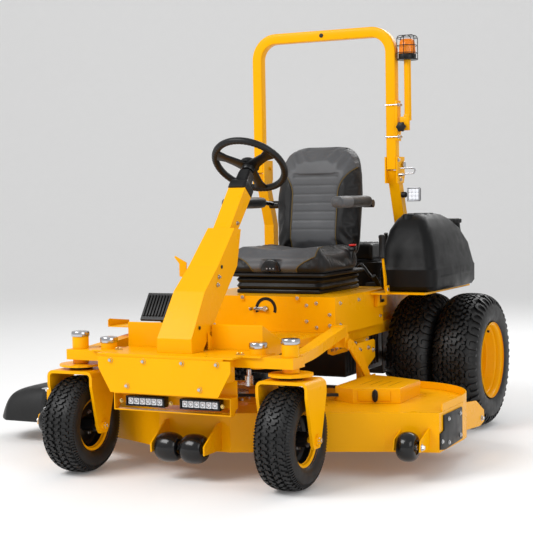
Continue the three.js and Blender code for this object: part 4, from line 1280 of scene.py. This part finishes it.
# %% Lamp bars
for side, sign in SIDES:
    x0, x1 = sorted((sign * 0.036, sign * 0.200))
    body = block((x0, -1.124, 0.2845), (x1, -1.0945, 0.3245), 0.006, 3)
    for i in range(14):
        fin = x0 + 0.012 + 0.0108 * i
        merge(body, block((fin, -1.098, 0.288), (fin + 0.003, -1.0925, 0.321), 0.0006))
    for end in (x0, x1):
        merge(body, block((end - 0.003, -1.130, 0.285), (end + 0.003, -1.096, 0.324), 0.0025))
    merge(body, block((x0 + 0.004, -1.1300, 0.3185), (x1 - 0.004, -1.115, 0.3235), 0.001))
    merge(body, block((x0 + 0.004, -1.1300, 0.2855), (x1 - 0.004, -1.115, 0.2905), 0.001))
    piece("lamp_bar_body_" + side, moved(body), GLOSS_BLACK, "chassis",
          ["light_bar_" + side])
    lenses = bmesh.new()
    rings = bmesh.new()
    for i in range(6):
        cx = x0 + 0.0185 + 0.0254 * i
        merge(lenses, block((cx - 0.0108, -1.1275, 0.2925), (cx + 0.0108, -1.1235, 0.3165), 0.0025, 2))
        merge(rings, lathe([(0.0045, 0), (0.0078, -0.0012), (0.0088, -0.0008), (0.0088, 0.001)], 24, "Y",
                           (cx, -1.1278, 0.3045)))
    piece("lamp_bar_lenses_" + side, moved(lenses), LED, "chassis")
    piece("lamp_bar_reflectors_" + side, moved(rings), CHROME, "chassis")
bolts("lamp_bracket_bolts", [(0.0, -1.1345, 0.305), (0.218, -1.1345, 0.305), (-0.218, -1.1345, 0.305)],
      (0, -1, 0), "chassis",
      0.011, 0.005, BRASS)
print("front end")

# %% [markdown]
# ## Steering tower
# The tower is a folded box. Small plated bolts close its side, a rubber grommet fills the cable hole,
# and a gusset stiffens the foot.


# %% Tower fittings
def tower_side(z):
    return 0.076 - 0.016 * min(1.0, max(0.0, (z - 0.544) / 0.40))


TOWER_BOLTS = ((-0.866, 0.762), (-0.880, 0.732))
for side, sign in SIDES:
    bolts("tower_bolts_" + side, [(sign * (tower_side(z) + 0.0004), y, z) for y, z in TOWER_BOLTS],
          (sign, 0, 0), "chassis", 0.012, 0.006, CHROME)
bolts("neck_bolts", [(0.0384, -0.650, 0.965)], (1, 0, 0), "chassis", 0.012, 0.006, CHROME)
form = bmesh.new()
for y, z in ((-1.039, 0.581), (-0.839, 0.800)):
    for sign in (-1, 1):
        plug = lathe([(0, 0), (0.007, 0), (0.0075, 0.0012), (0.005, 0.0022), (0, 0.0022)], 24)
        merge(form, plug, along((sign, 0, 0), at(sign * (tower_side(z) + 0.0002), y, z)))
piece("tower_grommets", form, TYRE, "chassis")
form = slab([(-0.985, 0.4915), (-0.900, 0.4915), (-0.900, 0.500), (-0.985, 0.560)], "X", 0.0775, 0.0805,
            0.001)
merge(form, slab([(-0.985, 0.4915), (-0.900, 0.4915), (-0.900, 0.500), (-0.985, 0.560)], "X", -0.0805,
                 -0.0775, 0.001))
piece("tower_gussets", moved(form), PAINT, "chassis")

# %% [markdown]
# ## Deck
# The belts run under two folded covers, perforated on top to let heat out and closed with a black
# latch. A rolled lip stiffens the curved rear edge, and black wear plates guard the sides.


# %% Perforated paint
def perforated(name, centre, half, pitch=0.020, radius=0.0042):
    """Yellow paint with rows of round holes inside a rectangle, in four groups. Each hole is painted near black
    as painted shade for the dim space under the cover.
    """
    material, tree, shader = new_finish(name, 0.3, coat=0.06)
    shader.inputs["Specular IOR Level"].default_value = 0.08
    x, y, z = shifted_place(tree, centre)
    holes = None
    for axis in (x, y):
        cell = combined(tree, "SUBTRACT",
                        combined(tree, "FRACT",
                                 combined(tree, "DIVIDE", combined(tree, "ADD", axis, 1.0), pitch), 0), 0.5)
        square = combined(tree, "POWER",
                          combined(tree, "ABSOLUTE", combined(tree, "MULTIPLY", cell, pitch), 0), 2.0)
        holes = square if holes is None else combined(tree, "ADD", holes, square)
    hole_painted_shade = combined(tree, "LESS_THAN", holes, radius ** 2)
    for axis, reach in ((x, half[0]), (y, half[1])):
        hole_painted_shade = combined(tree, "MULTIPLY", hole_painted_shade,
                        combined(tree, "LESS_THAN", combined(tree, "ABSOLUTE", axis, 0), reach))
    stripe = combined(tree, "FRACT", combined(tree, "DIVIDE", combined(tree, "ADD", x, 1.0), pitch * 2), 0)
    hole_painted_shade = combined(tree, "MULTIPLY", hole_painted_shade, combined(tree, "LESS_THAN", stripe, 0.5))
    hole_painted_shade = combined(tree, "MULTIPLY", hole_painted_shade, combined(tree, "GREATER_THAN", z, -0.001))
    paint = ramp(tree, noise(tree, 3.0), [(0.3, shade(YELLOW, 0.965)), (0.7, shade(YELLOW, 1.035))])
    mix = tree.nodes.new("ShaderNodeMix")
    mix.data_type = "RGBA"
    tree.links.new(hole_painted_shade, mix.inputs[0])
    tree.links.new(paint, mix.inputs[6])
    # painted shade: the holes take a near-black colour for the shadowed space seen through them
    mix.inputs[7].default_value = (0.02, 0.012, 0.004, 1)
    tree.links.new(mix.outputs[2], shader.inputs["Base Color"])
    bumpy(tree, shader, combined(tree, "SUBTRACT", 1.0, hole_painted_shade), 0.6, 0.002)
    return material


# %% Belt covers
COVER = [(0.4045, -0.5295), (0.500, -0.5765), (0.6755, -0.5145), (0.6675, -0.2625), (0.4995, -0.1905),
         (0.4045, -0.1725)]
for side, sign in SIDES:
    outline = [(sign * x, y) for x, y in COVER]
    form = slab(outline, "Z", 0.2506, 0.3095, 0)
    bmesh.ops.bevel(form, geom=[e for e in form.edges if min(v.co.z for v in e.verts) > 0.3], offset=0.005,
                    segments=3,
                    profile=0.5, affect="EDGES")
    merge(form, slab([(sign * 0.520, -0.5735), (sign * 0.640, -0.5315), (sign * 0.640, -0.5275),
                      (sign * 0.520, -0.5700)], "Z",
                     0.2600, 0.3020, 0.001))
    finish_of_cover = perforated("perforated_paint_with_hole_shade_" + side, tuple(at(sign * 0.560, -0.400, 0.3094)),
                                 (0.085, 0.070))
    piece("belt_cover_fold_" + side, moved(form), finish_of_cover, "deck",
          ["belt_cover_" + side])
    latch = slab([(-0.010, -0.018), (0.0, -0.027), (0.010, -0.018), (0.012, 0.0), (0.010, 0.018),
                  (0.0, 0.027),
                  (-0.010, 0.018), (-0.012, 0.0)], "Y", -0.008, 0.0, 0.002)
    merge(latch, block((-0.003, -0.013, -0.022), (0.003, -0.007, 0.022), 0.002))
    bmesh.ops.transform(latch, matrix=Matrix.Translation((sign * 0.584, -0.5515, 0.281))
                        @ Matrix.Rotation(sign * math.radians(19.5), 4, "Z"), verts=latch.verts)
    piece("belt_cover_latch_" + side, moved(latch), PLASTIC, "deck")


# %% [markdown]
# Two flat plates stand up from the deck beside the pedestal. They are cut from sheet, so each one is an
# outline given a thickness. They ride on the deck and slide up outside the pedestal as it lifts.

# %% Deck hangers
for side, sign in SIDES:
    form = slab([(-0.185, 0.2506), (-0.095, 0.2506), (-0.095, 0.315), (0.020, 0.360), (0.020, 0.432),
                 (0.008, 0.440),
                 (-0.170, 0.440), (-0.185, 0.425)], "X", sign * 0.352, sign * 0.357, 0.001)
    piece("deck_hanger_" + side, moved(form), PAINT, "deck")
    bolts("deck_hanger_bolts_" + side,
          [(sign * 0.357, y, z) for y, z in ((-0.155, 0.410), (-0.155, 0.345), (-0.120, 0.280),
          (-0.060, 0.410), (-0.005, 0.395))], (sign, 0, 0), "deck", 0.014, 0.007)
print("deck hangers")


# %% Lip and wear plates
def deck_rim(sign, inset):
    points = [(sign * (0.893 - inset), -0.640)]
    points += [(sign * (0.575 + (0.318 - inset) * math.cos(a)), -0.400 + (0.318 - inset) * math.sin(a))
               for a in (math.radians(6 * i) for i in range(16))]
    return points


for side, sign in SIDES:
    start = 1 if sign < 0 else 0
    outer, inner = deck_rim(sign, 0.0006)[start:], deck_rim(sign, 0.0050)[start:]
    form = bmesh.new()
    rows = [[form.verts.new((x, y, z)) for x, y in edge]
            for edge, z in ((outer, 0.2505), (outer, 0.276), (outer, 0.2785), (inner, 0.2785),
                            (inner, 0.276), (inner, 0.2505))]
    for first, second in zip(rows, rows[1:]):
        for i in range(len(first) - 1):
            form.faces.new((first[i], first[i + 1], second[i + 1], second[i]))
    form.faces.new([row[0] for row in rows])
    form.faces.new([row[-1] for row in rows])
    piece("deck_lip_" + side, moved(form), PAINT, "deck", degrees=40)
wear = [(-0.683, 0.112), (-0.640, 0.105), (-0.620, 0.104), (-0.424, 0.112), (-0.424, 0.236),
        (-0.640, 0.236), (-0.640, 0.178),
        (-0.683, 0.172)]
form = slab(wear, "X", 0.8932, 0.8992, 0.0015)
piece("wear_plate", moved(form), PLASTIC, "deck")
bolts("wear_plate_bolts", [(0.8992, y, z) for y,
                           z in ((-0.665, 0.140), (-0.590, 0.215), (-0.590, 0.125), (-0.450, 0.215),
                                                       (-0.450, 0.130))], (1, 0, 0), "deck", 0.012, 0.004)
form = bmesh.new()
for x0, y0, x1, y1 in ((0.160, -0.958, 0.498, -0.811), (0.500, -0.8105, 0.694, -0.735)):
    for sign in (-1, 1):
        merge(form, swept([at(sign * x0, y0 - 0.0008, 0.172), at(sign * x1, y1 - 0.0008, 0.172)], 0.0022, 8))
piece("deck_front_crease", form, PAINT, "deck")
spindle_tops = bmesh.new()
for x, y in ((0.575, -0.400), (0.0, -0.630), (-0.575, -0.400)):
    merge(spindle_tops, lathe([(0.0215, 0.2642), (0.040, 0.2642), (0.0435, 0.262), (0.0445, 0.2506)], 48,
                              "Z", at(x, y, 0)))
piece("spindle_housing_tops", spindle_tops, PAINT, "deck")
places = [(x + 0.058 * math.cos(a), y + 0.058 * math.sin(a), 0.2504) for x,
          y in ((0.575, -0.400), (0.0, -0.630), (-0.575, -0.400))
          for a in (math.radians(60 * i + 30) for i in range(6))]
bolts("spindle_bolts", places[6:12], (0, 0, 1), "deck", 0.013, 0.007)

# %% [markdown]
# The discharge chute is a moulded rubber hood with turned-down edges, clamped under a hinge strip.

# %% Discharge chute
low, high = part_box("discharge_chute")
print("chute box", [round(v, 3) for v in low - ORIGIN], [round(v, 3) for v in high - ORIGIN])
form = bmesh.new()
rows, columns = 30, 40
HINGE_X, HINGE_Z = -0.909, 0.241


def chute_point(u, v, thick):
    """u runs from the hinge out to the lip, v across from front to rear."""
    reach = (0.338 - 0.110 * abs(2 * v - 1) ** 2.5) * u
    x = HINGE_X - 0.004 - reach
    crown = HINGE_Z + 0.009 - 0.012 * u - 0.055 * u ** 3
    skirt = max(abs(2 * v - 1) ** 9, u ** 12)
    z = crown + (0.104 - crown) * skirt * min(1.0, 6 * u) - thick
    return form.verts.new(at(x, -0.655 + 0.415 * v + 0.006, z))


upper = [[chute_point(i / rows, j / columns, 0.0) for j in range(columns + 1)] for i in range(rows + 1)]
lower = [[chute_point(i / rows, j / columns, 0.007) for j in range(columns + 1)] for i in range(rows + 1)]
for sheet in (upper, lower):
    for i in range(rows):
        for j in range(columns):
            form.faces.new((sheet[i][j], sheet[i + 1][j], sheet[i + 1][j + 1], sheet[i][j + 1]))
for i in range(rows):
    for j in (0, columns):
        form.faces.new((upper[i][j], upper[i + 1][j], lower[i + 1][j], lower[i][j]))
for j in range(columns):
    for i in (0, rows):
        form.faces.new((upper[i][j], upper[i][j + 1], lower[i][j + 1], lower[i][j]))
piece("chute_rubber", form, TYRE, "discharge_chute", ["discharge_chute"], degrees=50)
form = bar(at(-0.9139, -0.655, 0.2439), at(-0.9139, -0.235, 0.2439), 0.0078, 24)
merge(form, block(at(-0.950, -0.640, 0.2440), at(-0.918, -0.250, 0.2480), 0.001))
piece("chute_hinge", form, STEEL, "discharge_chute")
print("deck")

# %% [markdown]
# ## Roll bar
# The hoop is one length of square tube bent round a former, so its corners are smooth and its edges
# rounded. It folds back on two pins held by wire clips.


# %% Square tube
def square_tube(path, half, corner=0.006, across=(0, 1, 0)):
    """A rounded square section carried along a path that lies square to one direction."""
    form = bmesh.new()
    path = [Vector(p) for p in path]
    across = Vector(across)
    rings = []
    for i, point in enumerate(path):
        tangent = (path[min(i + 1, len(path) - 1)] - path[max(i - 1, 0)]).normalized()
        side = across.cross(tangent)
        ring = []
        for quarter in range(4):
            for step in range(4):
                a = math.radians(90 * quarter + 30 * step)
                u = math.copysign(half - corner,
                                  math.cos(math.radians(90 * quarter + 45))) + corner * math.cos(a)
                v = math.copysign(half - corner,
                                  math.sin(math.radians(90 * quarter + 45))) + corner * math.sin(a)
                ring.append(form.verts.new(point + u * across + v * side))
        rings.append(ring)
    for first, second in zip(rings, rings[1:]):
        for k in range(16):
            form.faces.new((first[k], first[(k + 1) % 16], second[(k + 1) % 16], second[k]))
    form.faces.new(rings[0])
    form.faces.new(rings[-1])
    return form


# %% Hoop
BAR_X, BAR_Y, BEND = 0.337, 0.317, 0.096
arch = [(BAR_X, 1.183), (BAR_X, 1.45)]
arch += [(BAR_X - BEND + BEND * math.cos(a),
          1.713 + BEND * math.sin(a)) for a in (math.radians(5 * i) for i in range(19))]
arch += [(-x, z) for x, z in reversed(arch)]
form = square_tube([(x, BAR_Y, z) for x, z in arch], 0.0238)
for sign in (-1, 1):
    merge(form, block((sign * 0.314, 0.320, 1.184), (sign * 0.360, 0.356, 1.2275), 0.003))
    merge(form, bar((sign * 0.3135, 0.357, 1.204), (sign * 0.3605, 0.357, 1.204), 0.0225, 40))
merge(form, block((0.358, 0.293, 1.311), (0.3698, 0.341, 1.495), 0.003))
merge(form, block((0.366, 0.3142, 1.351), (0.3790, 0.3198, 1.399), 0.001))
piece("roll_bar_tube", moved(form), PAINT, "roll_bar", ["roll_bar_hoop"])
bolts("mast_clamp_bolts", [(0.370, y, z) for y in (0.302, 0.332) for z in (1.330, 1.474)], (1, 0, 0),
      "roll_bar", 0.012, 0.007)
form = bmesh.new()
for z in (1.330, 1.474):
    merge(form, swept([at(x, y, z) for x, y in ((0.3715, 0.2895), (0.311, 0.2895), (0.3085, 0.292),
                                                (0.3085, 0.342), (0.311, 0.3445),
                                               (0.3715, 0.3445))], 0.0032, 10))
piece("mast_clamp_bands", form, STEEL, "roll_bar")
form = lathe([(0, 0), (0.009, 0), (0.010, -0.0015), (0.007, -0.003), (0, -0.003)], 28, "Y",
             at(0, 0.2930, 1.809))
piece("bar_top_plug", form, TYRE, "roll_bar")
for side, sign in SIDES:
    pin = bar(at(sign * 0.3715, 0.357, 1.204), at(sign * 0.3795, 0.357, 1.204), 0.0155, 28)
    merge(pin, bar(at(sign * 0.3715, 0.301, 1.158), at(sign * 0.392, 0.301, 1.158), 0.0075, 24))
    merge(pin, swept([at(sign * x, 0.301, z) for x,
                      z in ((0.388, 1.158), (0.398, 1.158), (0.404, 1.163), (0.440, 1.163),
                      (0.447, 1.167), (0.450, 1.175), (0.447, 1.183), (0.440, 1.187), (0.380, 1.187))],
                     0.0036, 12))
    piece("fold_pins_" + side, pin, CHROME, "chassis")
    bolts("leg_bolts_" + side, [(sign * 0.3682, y, z) for y, z in ((0.330, 1.137), (0.305, 1.225))],
          (sign, 0, 0), "chassis",
          0.013, 0.006)

# %% [markdown]
# ## Beacon and work lamp
# The beacon stands in a wire guard on a mast that folds. A star knob clamps it. The guard is thin round
# wire, so it is swept along rings and ribs, and the lens is turned and then fluted.

# %% Beacon
MAST_X, MAST_Y = 0.412, 0.318
form = block((0.3802, 0.2962, 1.357), (0.4238, 0.3134, 1.4195), 0.003)
merge(form, bar((MAST_X, MAST_Y, 1.402), (MAST_X, MAST_Y, 1.675), 0.0158, 36))
merge(form, block((0.3965, 0.300, 1.404), (0.4235, 0.330, 1.430), 0.003))
piece("mast_post", moved(form), PAINT, "beacon_mast", ["beacon_mast"])
form = lathe([(0, 1.6735), (0.0475, 1.6735), (0.0485, 1.6750), (0.0485, 1.6785), (0.0475, 1.6798),
              (0, 1.6798)], 56)
for z in (1.705, 1.738, 1.772):
    ring = [(0.0470 * math.cos(a), 0.0470 * math.sin(a),
             z) for a in (2 * math.pi * i / 48 for i in range(48))]
    merge(form, swept(ring, 0.0018, 8, closed=True))
for i in range(6):
    a = math.radians(60 * i + 30)
    c, s = math.cos(a), math.sin(a)
    path = [(0.0470, 1.678), (0.0470, 1.770), (0.044, 1.779), (0.034, 1.784), (0.0, 1.786)]
    merge(form, swept([(r * c, r * s, z) for r, z in path], 0.0018, 8))
bmesh.ops.translate(form, vec=at(MAST_X, MAST_Y, 0), verts=form.verts)
piece("beacon_guard", form, BLACK_PAINT, "beacon_mast")
knob = lathe([(0, -0.019), (0.012, -0.019), (0.020, -0.016), (0.022, -0.010), (0.018, -0.004), (0.010, 0.0),
              (0.010, 0.006), (0, 0.006)],
             60, "Y")
for vertex in knob.verts:
    reach = math.hypot(vertex.co.x, vertex.co.z)
    if reach > 0.015:
        lobe = 1 + 0.10 * math.cos(6 * math.atan2(vertex.co.z, vertex.co.x))
        vertex.co.x *= lobe
        vertex.co.z *= lobe
bmesh.ops.translate(knob, vec=at(0.392, 0.2900, 1.373), verts=knob.verts)
piece("mast_knob", knob, PLASTIC, "beacon_mast")
dome = lathe([(0.0370, 1.7010), (0.0372, 1.7060), (0.0350, 1.7400), (0.0330, 1.7570), (0.0270, 1.7660),
              (0.0130, 1.7695), (0, 1.7700)], 96)
for vertex in dome.verts:
    if 1.704 < vertex.co.z < 1.758:
        vertex.co.xy *= 1 + 0.018 * math.cos(24 * math.atan2(vertex.co.y, vertex.co.x))
bmesh.ops.translate(dome, vec=at(MAST_X, MAST_Y, 0), verts=dome.verts)
piece("beacon_dome", dome, AMBER, "beacon_mast", ["beacon"])
form = lathe([(0, 1.6802), (0.0395, 1.6802), (0.0400, 1.6820), (0.0400, 1.6980), (0.0385, 1.7010),
              (0.036, 1.7030), (0.036, 1.7010)], 56)
merge(form, lathe([(0, 1.703), (0.009, 1.703), (0.009, 1.735), (0.006, 1.742), (0, 1.743)], 24))
bmesh.ops.translate(form, vec=at(MAST_X, MAST_Y, 0), verts=form.verts)
piece("beacon_base", form, PLASTIC, "beacon_mast")

# %% Work lamp
form = block((0.396, 0.349, 1.038), (0.454, 0.3675, 1.098), 0.006, 3)
for i in range(7):
    merge(form, block((0.401 + 0.0075 * i, 0.3660, 1.042), (0.404 + 0.0075 * i, 0.3705, 1.094), 0.0006))
merge(form, block((0.3635, 0.3490, 1.057), (0.400, 0.3535, 1.077), 0.001))
merge(form, bar((0.3645, 0.356, 1.067), (0.384, 0.356, 1.067), 0.0135, 28))
piece("work_lamp_body", moved(form), PLASTIC, "work_light", ["work_light"])
frame_bars = bmesh.new()
for a, b in (((0.3942, 0.341, 1.0362), (0.4558, 0.351, 1.0422)),
             ((0.3942, 0.341, 1.0938), (0.4558, 0.351, 1.0998)),
             ((0.3942, 0.341, 1.0362), (0.4002, 0.351, 1.0998)),
             ((0.4498, 0.341, 1.0362), (0.4558, 0.351, 1.0998))):
    merge(frame_bars, block(a, b, 0.002))
piece("work_lamp_frame", moved(frame_bars), SILVER_PAINT, "work_light")
form = bmesh.new()
for i in range(3):
    for j in range(3):
        x, z = 0.4012 + 0.0161 * i, 1.0435 + 0.0169 * j
        merge(form, block((x, 0.3432, z), (x + 0.0152, 0.3475, z + 0.0160), 0.0015))
piece("work_lamp_lens", moved(form), LED, "work_light")
print("roll bar and lamps")

# %% [markdown]
# ## Engine
# A V-twin sits behind the seat: finned heads to each side, a blower housing with a screened intake, a
# square air cleaner on clips, and a muffler across the back.

# %% Engine dressing
form = bmesh.new()
for sign in (-1, 1):
    for i in range(9):
        z = 0.552 + 0.0105 * i
        merge(form, block((sign * 0.125, 0.496, z), (sign * 0.2405, 0.655, z + 0.0035), 0.001))
    merge(form, block((sign * 0.2350, 0.520, 0.560), (sign * 0.2470, 0.630, 0.640), 0.006, 3))
piece("cylinder_fins", moved(form), CAST, "chassis")
form = lathe([(0.060, 0.7455), (0.176, 0.7455), (0.1815, 0.742), (0.1825, 0.735), (0.1825, 0.632)], 72, "Z",
             at(0, 0.710, 0))
for i in range(5):
    merge(form, lathe([(0.070 + 0.022 * i, 0.7450), (0.070 + 0.022 * i, 0.7500),
                       (0.074 + 0.022 * i, 0.7510), (0.078 + 0.022 * i, 0.7500),
                       (0.078 + 0.022 * i, 0.7450)], 64, "Z", at(0, 0.710, 0)))
piece("blower_housing", form, PLASTIC, "chassis")
form = block((-0.124, 0.576, 0.7515), (0.124, 0.804, 0.8335), 0.018, 4)
for i in range(6):
    merge(form, block((-0.085 + 0.030 * i, 0.600, 0.832), (-0.072 + 0.030 * i, 0.780, 0.8365), 0.002))
piece("air_cleaner_cover", moved(form), PLASTIC, "chassis")
clips = bmesh.new()
for sign in (-1, 1):
    merge(clips, block((sign * 0.122, 0.675, 0.758), (sign * 0.128, 0.705, 0.812), 0.0018))
piece("air_cleaner_clips", moved(clips), STEEL, "chassis")
form = lathe([(0, 0.0), (0.030, 0.0), (0.034, 0.004), (0.034, 0.070), (0.026, 0.080), (0, 0.080)], 48, "Y",
             at(-0.100, 0.8505, 0.545))
piece("oil_filter", form, PLASTIC, "chassis")

# %% Muffler and pipes
profile = [(0, -0.161), (0.020, -0.161), (0.040, -0.158), (0.0475, -0.153), (0.0500, -0.150),
           (0.0500, -0.146), (0.0490, -0.144),
           (0.0490, 0.144), (0.0500, 0.146), (0.0500, 0.150), (0.0475, 0.153), (0.040, 0.158),
           (0.020, 0.161), (0, 0.161)]
form = lathe(profile, 64, "X", at(0, 0.972, 0.628))
for sign in (-1, 1):
    merge(form, swept([at(sign * x, y, z) for x, y,
                       z in ((0.190, 0.640, 0.575), (0.200, 0.720, 0.560), (0.190, 0.840, 0.570),
                      (0.150, 0.900, 0.600), (0.110, 0.935, 0.615))], 0.015, 16))
merge(form, swept([at(x, y, z) for x, y, z in ((-0.110, 0.990, 0.600), (-0.120, 1.010, 0.575),
                                               (-0.125, 1.024, 0.545), (-0.125, 1.0265, 0.520))], 0.0135, 18))
piece("muffler_can", form, HOT_STEEL, "chassis", ["muffler"])

# %% [markdown]
# The hoses are rubber tubes on smooth curves through a few points, swept with a round section.

# %% Hoses
form = bmesh.new()
for points, radius in (
        (((0.150, 0.470, 0.420), (0.230, 0.440, 0.500), (0.250, 0.380, 0.600), (0.250, 0.330, 0.660),
          (0.240, 0.300, 0.700)), 0.011),
        (((0.180, 0.500, 0.640), (0.240, 0.440, 0.700), (0.285, 0.360, 0.760), (0.300, 0.320, 0.820),
          (0.305, 0.300, 0.900)), 0.009),
        (((-0.180, 0.500, 0.640), (-0.240, 0.440, 0.700), (-0.285, 0.360, 0.760), (-0.300, 0.320, 0.820)),
         0.009),
        (((0.060, 0.520, 0.700), (0.110, 0.470, 0.740), (0.160, 0.440, 0.700), (0.210, 0.430, 0.650)),
         0.007)):
    curve = []
    for i in range(len(points) - 1):
        p0, p1, p2, p3 = (Vector(points[max(0, min(len(points) - 1, i + k))]) for k in (-1, 0, 1, 2))
        for step in range(8):
            t = step / 8
            curve.append(ORIGIN + 0.5 * (2 * p1 + (p2 - p0) * t + (2 * p0 - 5 * p1 + 4 * p2 - p3) * t * t
                                         + (3 * p1 - p0 - 3 * p2 + p3) * t ** 3))
    merge(form, swept(curve, radius, 12))
piece("engine_hoses", form, TYRE, "chassis", degrees=60)
bolts("rear_guard_bolts", [(x, 1.040, z) for x in (-0.240, 0.240) for z in (0.410, 0.530)], (0, 1, 0),
      "chassis", 0.014, 0.006)

# %% [markdown]
# Under the pedestal a ribbed black moulding covers the pumps, and a bolted plate stiffens each side.
# The ribs are small bars on a plain cover, because at this size a rib is a block with soft edges.
# The plates stop above the belt, which comes up with the deck.

# %% Side plates and pump cover
form = block((-0.240, -0.035, 0.270), (0.240, 0.400, 0.438), 0.008, 3)
for i in range(11):
    merge(form, block((-0.243, -0.020 + 0.036 * i, 0.290), (0.243, -0.010 + 0.036 * i, 0.430), 0.002))
piece("pump_cover", moved(form), PLASTIC, "chassis")
for side, sign in SIDES:
    form = slab([(-0.345, 0.440), (-0.345, 0.412), (-0.300, 0.400), (-0.160, 0.400), (0.100, 0.412),
                 (0.100, 0.440)], "X",
                sign * 0.2905, sign * 0.2965, 0.001)
    piece("side_plate_" + side, moved(form), PAINT, "chassis")
    bolts("side_plate_bolts_" + side,
          [(sign * 0.2965, y, z) for y, z in ((-0.315, 0.427), (-0.270, 0.427), (-0.225, 0.427),
          (-0.180, 0.427), (-0.060, 0.427), (0.070, 0.427))], (sign, 0, 0), "chassis", 0.014, 0.007)

# %% Console
form = block((0.3315, 0.078, 0.575), (0.352, 0.186, 0.6395), 0.003)
piece("console_box", moved(form), PAINT, "chassis")
# painted shade: a thin black sheet on the console face stands in for the dark opening of the slot
slot_shade_sheet = slab([(0.100, 0.632), (0.116, 0.632), (0.116, 0.606), (0.150, 0.606), (0.150, 0.592),
             (0.100, 0.592)], "X", 0.3515, 0.3532, 0.0006)
piece("console_slot_painted_shade", moved(slot_shade_sheet), BLACK_PAINT, "chassis")
print("engine and console")


# %% [markdown]
# ## Floor
# A pale floor that curves up into a wall behind.

# %% Floor
sweep = [(-14.0, 0.0), (9.0, 0.0)] + [(9.0 + 4 * math.sin(a), 4 - 4 * math.cos(a))
                                      for a in (math.radians(9 * i) for i in range(1, 11))]
sweep += [(13.0, 14.0)]
form = bmesh.new()
edges = [[form.verts.new((x, y, z - 0.0005)) for y, z in sweep] for x in (-16, 16)]
for i in range(len(sweep) - 1):
    form.faces.new((edges[0][i], edges[1][i], edges[1][i + 1], edges[0][i + 1]))
floor = piece("studio_floor", form, FLOOR, degrees=80)
floor.rotation_euler = (0, 0, CAMERA_YAW)
